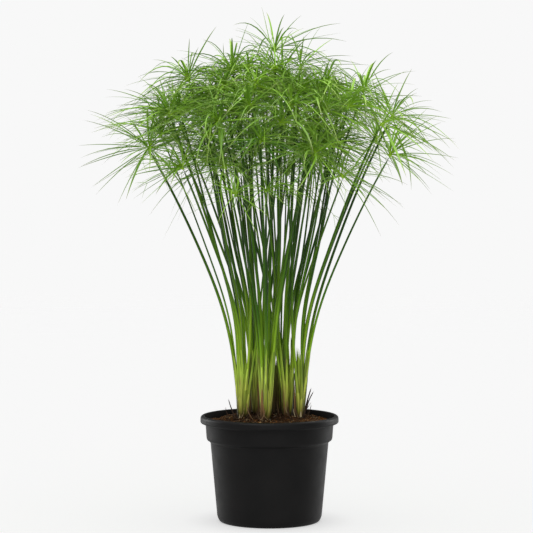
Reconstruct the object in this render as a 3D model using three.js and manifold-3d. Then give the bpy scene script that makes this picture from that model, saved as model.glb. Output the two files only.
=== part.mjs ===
// Potted haspan flatsedge: a plastic nursery pot of peat with a clump of slender leafless stems.
// Each stem ends in an umbel, a small hub that spreads narrow bracts and finer rays.
// Millimetres, +Z up, the origin at the centre of the pot's foot, and -Y the side that is seen.

import * as THREE from 'three';
import { mergeVertices } from 'three/addons/utils/BufferGeometryUtils.js';
import Module from 'manifold-3d';

const wasm = await Module();
wasm.setup();

const { PI } = Math;
const { clamp, degToRad, lerp } = THREE.MathUtils;

// Clear space kept between pieces that touch.
const GAP = 0.35;

// The pot. Radii are of the outer face unless they say inner. Its drain holes open in a shallow
// groove between the foot ring and a flat pad in the middle.
const POT = {
  sides: 30,
  roundSteps: 2,
  height: 143,
  wall: 1.6,
  padRadius: 22,
  grooveDepth: 2,
  footInnerRadius: 58,
  footRadius: 66,
  footRound: 5,
  bodyLowRadius: 71,
  bodyTopRadius: 80.6,
  stepLow: 107,
  stepHigh: 111,
  collarLowRadius: 85.8,
  collarTopRadius: 87.4,
  lipUnder: 130.5,
  lipLowRadius: 94,
  lipRadius: 95,
  lipInnerRadius: 88,
  lipRound: 4,
  floorTop: 4.4,
};
const DRAIN = { count: 5, ringRadius: 40, radius: 6.5, sides: 8, overrun: 1 };

// The peat: [radius, height] from the pot's wall to the middle of the mound.
const GROUND = [
  [84.8, 133.5],
  [66, 138.2],
  [34, 141.8],
];
const GROUND_MIDDLE = 142.6;
// Its lumps are two crossing waves, with the lengths that they take to turn by one radian in X and Y.
const LUMPS = { height: 0.5, waves: [[6, 9], [-11, 7]] };

// The tufts. A rootstock holds the feet of its stems, and a sheath wraps each stem's foot.
const ROOTSTOCK = { depth: 9, radius: 9.2, shoulder: 0.5, crownRadius: 6, crown: 5, sides: 8 };
const FOOT_SPREAD = 4.8;
const FOOT_HEIGHT = GROUND_MIDDLE - ROOTSTOCK.depth;
const SHEATH = { start: 0.005, tops: [176, 192], footRadius: 3.2, topRadius: 2.3, sides: 5 };

// The stems. A stem that would run into another bows aside by up to the bow, at its middle. Whether
// it does is judged on straight stretches of its course.
const STEM = {
  sides: 4, segments: 4, lowRadius: 1.9, highRadius: 1.35, startLean: 0.1, bow: 9, stretches: 6,
};

// An umbel's hub, as rings of [radius, height above the stem's end], and its point. Its rays lean
// together by up to the tilt, in degrees. An umbel low on the plant is younger and smaller.
const HUB = { sides: 6, rings: [[1.7, 0], [3.2, 2.6], [2.2, 5]], point: 6.6, tilt: 12 };
const YOUNG = { height: 440, size: 0.7, grownHeight: 500 };

// The rays by the part of the hub that they leave, with angles in degrees from the umbel's own level,
// and the places in each round that stay bare.
const RAY_TIERS = [
  { tier: 'under', low: -16, high: 6, bare: [3] },
  { tier: 'side', low: 6, high: 26, bare: [1] },
  { tier: 'shoulder', low: 24, high: 44, bare: [0, 4] },
  { tier: 'point', low: 44, high: 64, bare: [2, 5] },
];
// Every third ray is a broad bract. The sections stand at shares of the way to the tip.
const BRACT = { length: [86, 104], width: 3, depth: 1.3, sections: [0.38, 0.74] };
const FINE_RAY = { length: [68, 98], width: 1.7, depth: 1.2, sections: [0.55] };
const EVERY_BRACT = 3;
const BLADE_TAPER = 0.33;
// How far a ray's tip sags, as a share of its length, and how much more it sags the steeper it starts.
const SAG = { least: 0.06, most: 0.28, steep: 0.2 };
// A ray may turn aside by this many degrees, and shorten to this share, to keep clear of others.
const RAY_TURN = 16;
const RAY_SHORTEST = 0.45;

// How many courses a stem or a ray tries, and how clear it keeps of others.
const TRIES = 90;
const CLEARANCE = 0.5;
const SEED = 20;

// Where the tufts stand in the peat, and the hubs of their stems.
const TUFTS = [
  {
    foot: [-37, 0],
    hubs: [[-163, -25, 508], [-134, -42, 552], [-115, -66, 482], [-110, 15, 602], [-94, 66, 562]],
  },
  {
    foot: [-18, 38],
    hubs: [[-50, 2, 612], [-130, 80, 520], [-62, 104, 588], [-28, 140, 526]],
  },
  {
    foot: [-5, -24],
    hubs: [[-45, -66, 556], [-12, -112, 516], [8, -45, 612], [74, -74, 556], [-44, -128, 446]],
  },
  {
    foot: [17, 46],
    hubs: [[7, 20, 642], [18, 100, 614], [62, 142, 540], [112, 106, 572]],
  },
  {
    foot: [25, 16],
    hubs: [[42, 48, 620], [128, 8, 586], [59, -100, 500], [98, -62, 470]],
  },
  {
    foot: [42, 3],
    hubs: [[148, -56, 540], [163, -14, 499], [168, 40, 552], [150, 90, 520]],
  },
];

const MATERIALS = {
  plastic: { color: 0x1e1e1e, roughness: 0.55 },
  peat: { color: 0x35271a, roughness: 0.95 },
  sheath: { color: 0x8fa548, roughness: 0.6 },
  stem: { color: 0x3f6b24, roughness: 0.5 },
  umbel: { color: 0x5c9431, roughness: 0.55 },
};

/** Repeatable random numbers between low and high. */
function randomSource(seed) {
  let state = seed;
  return (low, high) => {
    state = (state + 0x6d2b79f5) | 0;
    let t = Math.imul(state ^ (state >>> 15), 1 | state);
    t = (t + Math.imul(t ^ (t >>> 7), 61 | t)) ^ t;
    return lerp(low, high, ((t ^ (t >>> 14)) >>> 0) / 2 ** 32);
  };
}

/** One closed skin of triangles. A ring's corners run anticlockwise for an eye ahead of it. */
class Skin {
  corners = [];
  triangles = [];

  ring(points) {
    const first = this.corners.length;
    this.corners.push(...points);
    return points.map((_, i) => first + i);
  }

  join(behind, ahead) {
    behind.forEach((corner, i) => {
      const next = (i + 1) % behind.length;
      this.triangles.push([corner, behind[next], ahead[next]], [corner, ahead[next], ahead[i]]);
    });
  }

  closeInPoint(ring, point) {
    const [tip] = this.ring([point]);
    ring.forEach((corner, i) => this.triangles.push([corner, ring[(i + 1) % ring.length], tip]));
  }

  closeFlat(ring, facesBack) {
    const fan = facesBack ? [...ring].reverse() : ring;
    for (let i = 1; i < fan.length - 1; i++) this.triangles.push([fan[0], fan[i], fan[i + 1]]);
  }

  geometry() {
    const geometry = new THREE.BufferGeometry().setFromPoints(this.corners);
    geometry.setIndex(this.triangles.flat());
    return geometry;
  }
}

/** Corners of a regular polygon about the origin, from +X round towards +Y. */
function circle(radius, sides, turn = 0) {
  return Array.from({ length: sides }, (_, i) => {
    const angle = (2 * PI * (i + turn)) / sides;
    return new THREE.Vector3(radius * Math.cos(angle), radius * Math.sin(angle), 0);
  });
}

/** The geometry's surface as a solid that can be joined and cut. */
function toSolid(geometry) {
  const bare = new THREE.BufferGeometry();
  bare.setAttribute('position', geometry.getAttribute('position').clone());
  bare.setIndex(geometry.getIndex());
  const merged = mergeVertices(bare);
  const index = merged.getIndex().array;
  const triVerts = [];
  for (let i = 0; i < index.length; i += 3) {
    const [a, b, c] = index.subarray(i, i + 3);
    if (a !== b && b !== c && c !== a) triVerts.push(a, b, c);
  }
  return new wasm.Manifold(new wasm.Mesh({
    numProp: 3,
    vertProperties: merged.getAttribute('position').array,
    triVerts: new Uint32Array(triVerts),
  }));
}

function toGeometry(solid) {
  const mesh = solid.getMesh();
  const geometry = new THREE.BufferGeometry();
  geometry.setAttribute('position', new THREE.BufferAttribute(mesh.vertProperties, 3));
  geometry.setIndex(new THREE.BufferAttribute(mesh.triVerts, 1));
  return geometry;
}

/** A profile of [radius, height] points, axis to axis, turned about +Z. */
function turned(profile) {
  return new THREE.LatheGeometry(profile, POT.sides).rotateX(PI / 2);
}

/** An upright prism about a point of the ground. */
function uprightPrism([x, y], radius, low, high, sides) {
  const prism = new THREE.CylinderGeometry(radius, radius, high - low, sides).rotateX(PI / 2);
  return prism.translate(x, y, (low + high) / 2);
}

/** The pot's inner face from the lip down to the floor, moved in by the inset. */
function innerFace(inset) {
  const inside = POT.wall + inset;
  return [
    new THREE.Vector2(POT.collarTopRadius - inside, POT.lipUnder),
    new THREE.Vector2(POT.collarLowRadius - inside, POT.stepHigh + POT.wall),
    new THREE.Vector2(POT.bodyTopRadius - inside, POT.stepLow + POT.wall),
    new THREE.Vector2(POT.bodyLowRadius - inside, POT.floorTop + POT.footRound + inset),
    new THREE.Vector2(POT.footRadius - inset, POT.floorTop + inset),
  ];
}

function makePot() {
  const outline = new THREE.Path();
  outline.moveTo(0, 0);
  outline.lineTo(POT.padRadius, 0);
  outline.lineTo(POT.padRadius + POT.grooveDepth, POT.grooveDepth);
  outline.lineTo(POT.footInnerRadius - POT.grooveDepth, POT.grooveDepth);
  outline.lineTo(POT.footInnerRadius, 0);
  outline.lineTo(POT.footRadius, 0);
  outline.quadraticCurveTo(POT.bodyLowRadius, 0, POT.bodyLowRadius, POT.footRound);
  outline.lineTo(POT.bodyTopRadius, POT.stepLow);
  outline.lineTo(POT.collarLowRadius, POT.stepHigh);
  outline.lineTo(POT.collarTopRadius, POT.lipUnder);
  outline.lineTo(POT.lipLowRadius, POT.lipUnder);
  outline.lineTo(POT.lipRadius, POT.height - POT.lipRound);
  const lipMiddle = (POT.lipRadius + POT.lipInnerRadius) / 2;
  outline.quadraticCurveTo(POT.lipRadius, POT.height, lipMiddle, POT.height);
  outline.quadraticCurveTo(POT.lipInnerRadius, POT.height, POT.lipInnerRadius, POT.height - POT.lipRound);
  innerFace(0).forEach((point) => outline.lineTo(point.x, point.y));
  outline.lineTo(0, POT.floorTop);

  let pot = toSolid(turned(outline.getPoints(POT.roundSteps)));
  for (const { x, y } of circle(DRAIN.ringRadius, DRAIN.count)) {
    const low = -DRAIN.overrun;
    const high = POT.floorTop + DRAIN.overrun;
    pot = pot.subtract(toSolid(uprightPrism([x, y], DRAIN.radius, low, high, DRAIN.sides)));
  }
  return toGeometry(pot);
}

/** The peat fills the pot, with a pocket for each rootstock. Its top is gently uneven. */
function makeSoil() {
  const edge = new THREE.Vector2(...GROUND[0]);
  const wall = innerFace(GAP).slice(1).reverse();
  const top = GROUND.slice(1).map(([radius, height]) => new THREE.Vector2(radius, height));
  const floor = new THREE.Vector2(0, POT.floorTop + GAP);
  const profile = [floor, ...wall, edge, ...top, new THREE.Vector2(0, GROUND_MIDDLE)];
  const geometry = turned(profile);
  const position = geometry.getAttribute('position');
  for (let i = 0; i < position.count; i++) {
    const [x, y, z] = [position.getX(i), position.getY(i), position.getZ(i)];
    const waves = LUMPS.waves.map(([alongX, alongY]) => Math.sin(x / alongX + y / alongY));
    if (z > edge.y) position.setZ(i, z + LUMPS.height * (waves[0] + waves[1]));
  }
  let soil = toSolid(geometry);
  for (const { foot } of TUFTS) {
    const width = ROOTSTOCK.radius + GAP;
    const pocket = uprightPrism(foot, width, FOOT_HEIGHT - GAP, POT.height, ROOTSTOCK.sides);
    soil = soil.subtract(toSolid(pocket));
  }
  return toGeometry(soil);
}

/** Corners of a round section of a curve, with its first corner towards +X. */
function sectionRing(curve, t, radius, sides) {
  const centre = curve.getPoint(t);
  const ahead = curve.getTangent(t);
  const across = new THREE.Vector3(0, 1, 0).cross(ahead).normalize();
  const back = ahead.clone().cross(across);
  return circle(radius, sides).map(({ x, y }) => (
    centre.clone().addScaledVector(across, x).addScaledVector(back, y)
  ));
}

/** A closed tube along a curve through stations of [t, radius]. */
function tubeAlong(curve, stations, sides) {
  const skin = new Skin();
  const rings = stations.map(([t, radius]) => skin.ring(sectionRing(curve, t, radius, sides)));
  rings.slice(1).forEach((ring, i) => skin.join(rings[i], ring));
  skin.closeFlat(rings[0], true);
  skin.closeFlat(rings.at(-1), false);
  return skin.geometry();
}

/** Straight stretches along a curve, each as thick as its radius, that other pieces keep clear of. */
function stretchesOf(points, radii, owner) {
  return points.slice(1).map((end, i) => ({
    line: new THREE.Line3(points[i], end),
    radius: Math.max(radii[i], radii[i + 1]),
    owner,
    atRoot: i === 0,
  }));
}

/** Whether stretches keep clear of the taken ones. Near its root a ray may touch its own umbel. */
function isClear(stretches, taken) {
  return stretches.every((a) => taken.every((b) => {
    if (a.owner === b.owner && (a.atRoot || b.atRoot)) return true;
    const reach = a.radius + b.radius + CLEARANCE;
    return a.line.distanceSqToLine3(b.line) > reach * reach;
  }));
}

/**
 * A stem's centre line. It leaves its foot nearly upright and leans out steadily to its hub, and the
 * bow moves its middle to one side.
 */
function stemCurve(foot, hub, bow) {
  const control = new THREE.Vector3(
    lerp(foot.x, hub.x, STEM.startLean) + bow[0],
    lerp(foot.y, hub.y, STEM.startLean) + bow[1],
    (foot.z + hub.z) / 2,
  );
  return new THREE.QuadraticBezierCurve3(foot, control, hub);
}

/** The tuft's hubs with a foot for each, in the same order round the tuft, so that few stems cross. */
function feetOf({ foot, hubs }) {
  const share = ([x, y]) => Math.atan2(y - foot[1], x - foot[0]) / (2 * PI);
  const inOrder = [...hubs].sort((a, b) => share(a) - share(b));
  const turns = inOrder.map((hub, i) => share(hub) * hubs.length - i);
  const turn = turns.reduce((sum, value) => sum + value) / hubs.length;
  return circle(FOOT_SPREAD, hubs.length, turn).map(({ x, y }, i) => ({
    hub: new THREE.Vector3(...inOrder[i]),
    foot: new THREE.Vector3(foot[0] + x, foot[1] + y, FOOT_HEIGHT),
  }));
}

/** Even steps from first to last. */
function evenSteps(first, last, steps) {
  return Array.from({ length: steps + 1 }, (_, i) => lerp(first, last, i / steps));
}

/** Every stem's course, as clear of the stems before it as a few bows allow. */
function layStems(random, taken) {
  const stems = [];
  TUFTS.forEach((tuft, tuftIndex) => {
    const sheathTop = random(...SHEATH.tops);
    for (const { hub, foot } of feetOf(tuft)) {
      const owner = stems.length;
      const sheathEnd = (sheathTop - foot.z) / (hub.z - foot.z);
      let curve;
      let stretches;
      for (let attempt = 0; attempt < TRIES; attempt++) {
        const slack = attempt === 0 ? 0 : STEM.bow;
        curve = stemCurve(foot, hub, [random(-slack, slack), random(-slack, slack)]);
        const points = evenSteps(sheathEnd, 1, STEM.stretches).map((t) => curve.getPoint(t));
        stretches = stretchesOf(points, points.map(() => STEM.lowRadius), owner);
        if (isClear(stretches, taken)) break;
      }
      taken.push(...stretches);
      stems.push({ curve, sheathEnd, tuftIndex, owner });
    }
  });
  return stems;
}

/** A tuft is a low rootstock joined with the sheaths that rise from it. */
function makeTuft([x, y], stems) {
  const levels = [
    [ROOTSTOCK.radius, FOOT_HEIGHT],
    [ROOTSTOCK.radius, GROUND_MIDDLE - ROOTSTOCK.shoulder],
    [ROOTSTOCK.crownRadius, GROUND_MIDDLE + ROOTSTOCK.crown],
  ];
  const stump = new Skin();
  const rings = levels.map(([radius, z]) => (
    stump.ring(circle(radius, ROOTSTOCK.sides).map((p) => p.add(new THREE.Vector3(x, y, z))))
  ));
  stump.join(rings[0], rings[1]);
  stump.join(rings[1], rings[2]);
  stump.closeFlat(rings[0], true);
  stump.closeFlat(rings[2], false);
  return toGeometry(stems.reduce((tuft, { curve, sheathEnd }) => {
    const stations = [[SHEATH.start, SHEATH.footRadius], [sheathEnd, SHEATH.topRadius]];
    return tuft.add(toSolid(tubeAlong(curve, stations, SHEATH.sides)));
  }, toSolid(stump.geometry())));
}

/** A stem runs from its sheath's end to just short of its hub, thinning as it rises. */
function makeStem({ curve, sheathEnd }) {
  const gap = GAP / curve.getLength();
  const radii = evenSteps(STEM.lowRadius, STEM.highRadius, STEM.segments);
  const stations = evenSteps(sheathEnd + gap, 1 - gap, STEM.segments).map((t, i) => [t, radii[i]]);
  return tubeAlong(curve, stations, STEM.sides);
}

/** The hub's three rings of corners in its own frame, each turned half a step from the last. */
function hubRings() {
  return HUB.rings.map(([radius, height], level) => (
    circle(radius, HUB.sides, level / 2).map((corner) => corner.setZ(height))
  ));
}

/** The hub's faces by tier. Rings a and b below make a zigzag of faces that rest on a or hang from b. */
function hubFaces([collar, waist, crown], point) {
  const zigzag = (a, b) => a.map((corner, i) => {
    const next = (i + 1) % a.length;
    return { resting: [corner, a[next], b[i]], hanging: [a[next], b[next], b[i]] };
  });
  const low = zigzag(collar, waist);
  const high = zigzag(waist, crown);
  return {
    bare: low.map((pair) => pair.resting),
    under: low.map((pair) => pair.hanging),
    side: high.map((pair) => pair.resting),
    shoulder: high.map((pair) => pair.hanging),
    point: crown.map((corner, i) => [corner, crown[(i + 1) % crown.length], point]),
  };
}

/** The middle of a face. */
function middleOf([a, b, c]) {
  return a.clone().add(b).add(c).divideScalar(3);
}

/** A ray's centre line: straight out along its heading, and sagging with the square of the way. */
function rayPoint(root, heading, length, sag, share) {
  const drop = new THREE.Vector3(0, 0, -sag * length * share * share);
  return root.clone().addScaledVector(heading, length * share).add(drop);
}

/** The three corners of a keeled blade's section, in the order that twists the blade least. */
function bladeSection(centre, ahead, width, depth, behind) {
  const across = new THREE.Vector3(0, 0, 1).cross(ahead).normalize();
  const up = ahead.clone().cross(across);
  const corners = [
    centre.clone().addScaledVector(up, -depth),
    centre.clone().addScaledVector(across, width / 2),
    centre.clone().addScaledVector(across, -width / 2),
  ];
  const middle = middleOf(behind);
  const likeness = (order) => order.reduce((sum, corner, i) => {
    const from = behind[i].clone().sub(middle).normalize();
    return sum + from.dot(corner.clone().sub(centre).normalize());
  }, 0);
  const orders = corners.map((_, shift) => corners.map((__, i) => corners[(i + shift) % 3]));
  return orders.reduce((best, order) => (likeness(order) > likeness(best) ? order : best));
}

/**
 * The points of a clear ray that leaves a face of the hub, or null. Each try turns to another
 * heading, and later tries are shorter.
 */
function findRay(faceCorners, { low, high }, kind, umbel, random, taken) {
  const root = middleOf(faceCorners);
  const local = root.clone().sub(umbel.end).applyQuaternion(umbel.pose.clone().invert());
  const outward = Math.atan2(local.y, local.x);
  const shares = [0, ...kind.sections, 1];
  const radii = shares.map((share) => (share === 1 ? 0 : kind.width / 2));
  for (let attempt = 0; attempt < TRIES; attempt++) {
    const level = degToRad(random(low, high));
    const side = outward + degToRad(random(-RAY_TURN, RAY_TURN));
    const heading = new THREE.Vector3(
      Math.cos(side) * Math.cos(level),
      Math.sin(side) * Math.cos(level),
      Math.sin(level),
    ).applyQuaternion(umbel.pose).applyQuaternion(umbel.lean);
    const shortening = lerp(1, RAY_SHORTEST, attempt / TRIES);
    const length = umbel.size * shortening * random(...kind.length);
    const sag = random(SAG.least, SAG.most) + SAG.steep * Math.sin(level);
    const points = shares.map((share) => rayPoint(root, heading, length, sag, share));
    const stretches = stretchesOf(points, radii, umbel.owner);
    if (isClear(stretches, taken)) {
      taken.push(...stretches);
      return points;
    }
  }
  return null;
}

/** Grows a blade out of a face of the skin, through the ray's points to a sharp tip. */
function growRay(skin, face, points, kind) {
  let behind = face;
  kind.sections.forEach((share, i) => {
    const ahead = points[i + 2].clone().sub(points[i]).normalize();
    const narrowing = 1 - BLADE_TAPER * share;
    const corners = behind.map((corner) => skin.corners[corner]);
    const ring = skin.ring(bladeSection(
      points[i + 1], ahead, kind.width * narrowing, kind.depth * narrowing, corners,
    ));
    skin.join(behind, ring);
    behind = ring;
  });
  skin.closeInPoint(behind, points.at(-1));
}

/** An umbel: a hub on the stem's end, and a ray from most of its faces. */
function makeUmbel({ curve, owner }, random, taken) {
  const end = curve.getPoint(1);
  const grown = (end.z - YOUNG.height) / (YOUNG.grownHeight - YOUNG.height);
  const tilts = [random(-HUB.tilt, HUB.tilt), random(-HUB.tilt, HUB.tilt)].map(degToRad);
  const umbel = {
    owner,
    end,
    pose: new THREE.Quaternion().setFromUnitVectors(new THREE.Vector3(0, 0, 1), curve.getTangent(1)),
    lean: new THREE.Quaternion().setFromEuler(new THREE.Euler(...tilts, 0)),
    size: lerp(YOUNG.size, 1, clamp(grown, 0, 1)),
  };
  const place = (point) => point.applyQuaternion(umbel.pose).add(end);
  const skin = new Skin();
  const rings = hubRings().map((ring) => skin.ring(ring.map(place)));
  const [point] = skin.ring([place(new THREE.Vector3(0, 0, HUB.point))]);
  const faces = hubFaces(rings, point);
  skin.closeFlat(rings[0], true);
  skin.triangles.push(...faces.bare);

  let count = owner;
  for (const range of RAY_TIERS) {
    faces[range.tier].forEach((face, i) => {
      count += 1;
      const kind = count % EVERY_BRACT === 0 ? BRACT : FINE_RAY;
      const corners = face.map((corner) => skin.corners[corner]);
      const points = range.bare.includes(i)
        ? null
        : findRay(corners, range, kind, umbel, random, taken);
      if (points) growRay(skin, face, points, kind);
      else skin.triangles.push(face);
    });
  }
  return skin.geometry();
}

const group = new THREE.Group();

function addPiece(name, geometry, finish) {
  geometry.computeVertexNormals();
  const material = new THREE.MeshStandardMaterial({ ...MATERIALS[finish], metalness: 0 });
  const mesh = new THREE.Mesh(geometry, material);
  mesh.name = name;
  group.add(mesh);
}

const numbered = (name, index) => `${name}_${String(index + 1).padStart(2, '0')}`;
const random = randomSource(SEED);
const taken = [];
const stems = layStems(random, taken);

addPiece('pot', makePot(), 'plastic');
addPiece('soil', makeSoil(), 'peat');
TUFTS.forEach(({ foot }, i) => {
  addPiece(numbered('tuft', i), makeTuft(foot, stems.filter((stem) => stem.tuftIndex === i)), 'sheath');
});
stems.forEach((stem) => addPiece(numbered('stem', stem.owner), makeStem(stem), 'stem'));
stems.forEach((stem) => addPiece(numbered('umbel', stem.owner), makeUmbel(stem, random, taken), 'umbel'));

export default group;
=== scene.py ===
# %% [markdown]
# # A potted haspan flatsedge
#
# The plant is a clump of slender leafless stems in a round black nursery pot. Every stem carries an
# umbel: a small hub from which narrow bracts and a lot of finer rays spread, arch and droop. A
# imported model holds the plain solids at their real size. This lesson dresses them, piece by piece,
# and each step says what the real piece is, how it could be made and why it is made as it is here.

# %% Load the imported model
import math

import bpy
import numpy as np
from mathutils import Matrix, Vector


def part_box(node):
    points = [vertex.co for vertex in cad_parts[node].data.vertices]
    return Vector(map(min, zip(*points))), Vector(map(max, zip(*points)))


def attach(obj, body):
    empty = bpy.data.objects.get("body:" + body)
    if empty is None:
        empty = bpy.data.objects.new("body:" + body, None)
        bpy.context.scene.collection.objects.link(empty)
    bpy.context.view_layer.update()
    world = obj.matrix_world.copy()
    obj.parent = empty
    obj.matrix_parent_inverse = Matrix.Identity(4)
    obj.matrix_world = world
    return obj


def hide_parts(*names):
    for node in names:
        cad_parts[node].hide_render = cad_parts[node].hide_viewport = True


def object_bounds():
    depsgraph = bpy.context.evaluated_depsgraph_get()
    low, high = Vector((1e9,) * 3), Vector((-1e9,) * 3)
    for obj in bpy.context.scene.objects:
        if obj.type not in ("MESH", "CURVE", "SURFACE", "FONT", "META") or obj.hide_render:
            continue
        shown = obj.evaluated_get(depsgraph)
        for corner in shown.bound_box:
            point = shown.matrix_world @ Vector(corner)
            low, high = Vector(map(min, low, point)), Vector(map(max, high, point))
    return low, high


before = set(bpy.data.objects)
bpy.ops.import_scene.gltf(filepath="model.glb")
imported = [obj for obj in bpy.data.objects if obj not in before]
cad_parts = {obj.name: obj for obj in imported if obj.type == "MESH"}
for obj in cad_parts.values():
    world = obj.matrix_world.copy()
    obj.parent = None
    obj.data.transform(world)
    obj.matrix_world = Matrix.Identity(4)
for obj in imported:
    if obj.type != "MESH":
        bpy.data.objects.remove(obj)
cad_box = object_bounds()
MM = 0.001
print("solids:", len(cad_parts), "box:", [round(x, 3) for corner in cad_box for x in corner])

# %% [markdown]
# ## The camera
#
# The photograph looks at the pot from just above its rim, from far away: the far side of the rim
# shows as a thin ellipse, and the stems don't spread with perspective. A camera could be placed by
# eye. Here its distance, height and lens are worked out from how large the rim is and how far its
# ellipse opens, so that every piece lands where the photograph has it.

# %% Camera
PHOTO_SIDE = 533
FOCAL_PIXELS = 2097
SENSOR_MM = 36
CAMERA_PLACE = np.array([-4.1, -2859, 478]) * MM
AIM_HEIGHT = 348.8 * MM

camera_data = bpy.data.cameras.new("camera")
camera_data.sensor_width = SENSOR_MM
camera_data.lens = SENSOR_MM * FOCAL_PIXELS / PHOTO_SIDE
camera = bpy.data.objects.new("camera", camera_data)
camera.location = CAMERA_PLACE
pitch = math.atan2(AIM_HEIGHT - CAMERA_PLACE[2], -CAMERA_PLACE[1])
camera.rotation_euler = (math.pi / 2 + pitch, 0, 0)
bpy.context.scene.collection.objects.link(camera)
bpy.context.scene.camera = camera
print("lens:", round(camera_data.lens, 1), "mm, looking down by", round(-math.degrees(pitch), 2))

# %% [markdown]
# ## Meshes from arrays
#
# A grown thing has hundreds of alike parts: stems, bracts, rays. They could be curves with a bevel,
# or instances, but an exporter keeps only real meshes. So every part is a skin: rings of points
# carried along a course, closed at its root and drawn together in a tip. All skins of one kind are
# worked out at once, as arrays with a row for each skin.

# %% Closed skins
UP = np.array([0.0, 0.0, 1.0])


def unit(vectors):
    """The vectors, each divided by its length."""
    return vectors / np.linalg.norm(vectors, axis=-1, keepdims=True)


def compass(turn):
    """Level directions of length 1: (cos turn, sin turn, 0)."""
    return np.stack([np.cos(turn), np.sin(turn), 0 * turn], axis=-1)


def skin_faces(count, stations, sides):
    """Quads between neighbouring rings, a fan to each tip, and a fan that closes each root."""
    ring, side = np.meshgrid(np.arange(stations - 1), np.arange(sides), indexing="ij")
    here, ahead = ring * sides + side, ring * sides + (side + 1) % sides
    quads = np.stack([here, ahead, ahead + sides, here + sides], axis=-1).reshape(-1, 4)
    around, inner = np.arange(sides), np.arange(1, sides - 1)
    last, tip = (stations - 1) * sides, stations * sides
    tips = np.stack([last + around, last + (around + 1) % sides, np.full(sides, tip)], axis=-1)
    roots = np.stack([np.zeros_like(inner), inner + 1, inner], axis=-1)
    first = (np.arange(count) * (tip + 1))[:, None, None]
    triangles = np.concatenate([tips, roots])
    return (quads + first).reshape(-1, 4), (triangles + first).reshape(-1, 3)


def per_point(values, sides):
    """Values at the stations, one row for each skin, given to all points of a ring and to the tip."""
    rings = np.repeat(values[:, :-1], sides, axis=1)
    return np.concatenate([rings, values[:, -1:]], axis=1).reshape(-1, *values.shape[2:])


print("a blade of 8 rings and 4 sides has", sum(map(len, skin_faces(1, 8, 4))), "faces")

# %% Growth
LOOKS = ("along", "tone", "grain")


class Growth:
    """Collects skins with what their finish reads, and makes one mesh of them."""

    def __init__(self):
        self.points, self.quads, self.triangles, self.looks = [], [], [], []
        self.size = 0

    def add(self, points, quads, triangles, along, tone, grain):
        """along runs from 0 at a root to 1 at a tip, tone tells skins apart, grain is a place on it."""
        self.points.append(points)
        self.quads.append(quads + self.size)
        self.triangles.append(triangles + self.size)
        self.looks.append(np.column_stack([along, tone, grain]))
        self.size += len(points)

    def add_rings(self, rings, tips, along, tone, grain):
        """rings is skins x stations x sides x 3, tips is skins x 3. The last of along is for the tip."""
        count, stations, sides = rings.shape[:3]
        points = np.concatenate([rings.reshape(count, stations * sides, 3), tips[:, None]], axis=1)
        points = points.reshape(-1, 3)
        quads, triangles = skin_faces(count, stations, sides)
        tones = np.repeat(tone, stations * sides + 1)
        self.add(points, quads, triangles, per_point(along, sides), tones, grain)

    def piece(self, name, finish, replaces=(), sharp_degrees=180):
        """One mesh of all the skins, smooth except at edges sharper than the angle, on the body root."""
        points, looks = np.concatenate(self.points), np.concatenate(self.looks)
        faces = [np.concatenate(self.quads), np.concatenate(self.triangles)]
        mesh = bpy.data.meshes.new(name)
        mesh.vertices.add(len(points))
        mesh.vertices.foreach_set("co", points.astype(np.float32).ravel())
        corners = np.concatenate([block.ravel() for block in faces]).astype(np.int32)
        sizes = np.repeat([4, 3], [len(block) for block in faces])
        mesh.loops.add(len(corners))
        mesh.loops.foreach_set("vertex_index", corners)
        mesh.polygons.add(len(sizes))
        mesh.polygons.foreach_set("loop_start", (np.cumsum(sizes) - sizes).astype(np.int32))
        mesh.polygons.foreach_set("use_smooth", np.ones(len(sizes), bool))
        mesh.update(calc_edges=True)
        for column, attribute in enumerate(LOOKS[:2]):
            values = looks[:, column].astype(np.float32)
            mesh.attributes.new(attribute, "FLOAT", "POINT").data.foreach_set("value", values)
        grain = mesh.attributes.new(LOOKS[2], "FLOAT_VECTOR", "POINT")
        grain.data.foreach_set("vector", looks[:, 2:].astype(np.float32).ravel())
        if sharp_degrees < 180:
            mesh.set_sharp_from_angle(angle=math.radians(sharp_degrees))
        mesh.materials.append(finish)
        made = bpy.data.objects.new(name, mesh)
        bpy.context.scene.collection.objects.link(made)
        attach(made, "root")
        if replaces:
            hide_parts(*replaces)
        return made


def triangle_count(pieces):
    """Quads count twice."""
    return sum(len(polygon.vertices) - 2 for made in pieces for polygon in made.data.polygons)


print("each point carries:", LOOKS)

# %% [markdown]
# ## Sections along courses
#
# A stem is nearly round and a bract is a keeled channel, but both are a section carried along a
# line. At each station the section stands square to the line. Its own "across" direction is given,
# so a blade doesn't spin where its course passes over the top of its arch.

# %% Sweep
def sweep(growth, centres, across, section, widths, depths, tone, offset):
    """
    Point = centre + x * width * right + y * depth * up, for each (x, y) of the section, where up is
    square to the course and to across, and right is square to both. The last centre is the tip.
    """
    ahead = unit(np.gradient(centres, axis=1))
    up = unit(np.cross(ahead, np.broadcast_to(across, centres.shape)))
    right = np.cross(up, ahead)
    x = widths[:, :-1, None] * section[:, 0]
    y = depths[:, :-1, None] * section[:, 1]
    rings = (centres[:, :-1, None] + x[..., None] * right[:, :-1, None]
             + y[..., None] * up[:, :-1, None])
    steps = np.linalg.norm(np.diff(centres, axis=1), axis=-1)
    way = np.concatenate([np.zeros((len(centres), 1)), np.cumsum(steps, axis=1)], axis=1)
    on_ring = np.stack([x, y, np.broadcast_to(way[:, :-1, None], x.shape)], axis=-1)
    on_tip = np.stack([0 * way[:, -1], 0 * way[:, -1], way[:, -1]], axis=-1)
    ring_points = x.shape[1] * x.shape[2]
    grain = np.concatenate([on_ring.reshape(len(centres), ring_points, 3), on_tip[:, None]], axis=1)
    grain = (grain + offset[:, None, None]).reshape(-1, 3)
    along = way / way[:, -1:]
    growth.add_rings(rings, centres[:, -1], along, tone, grain)


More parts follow.
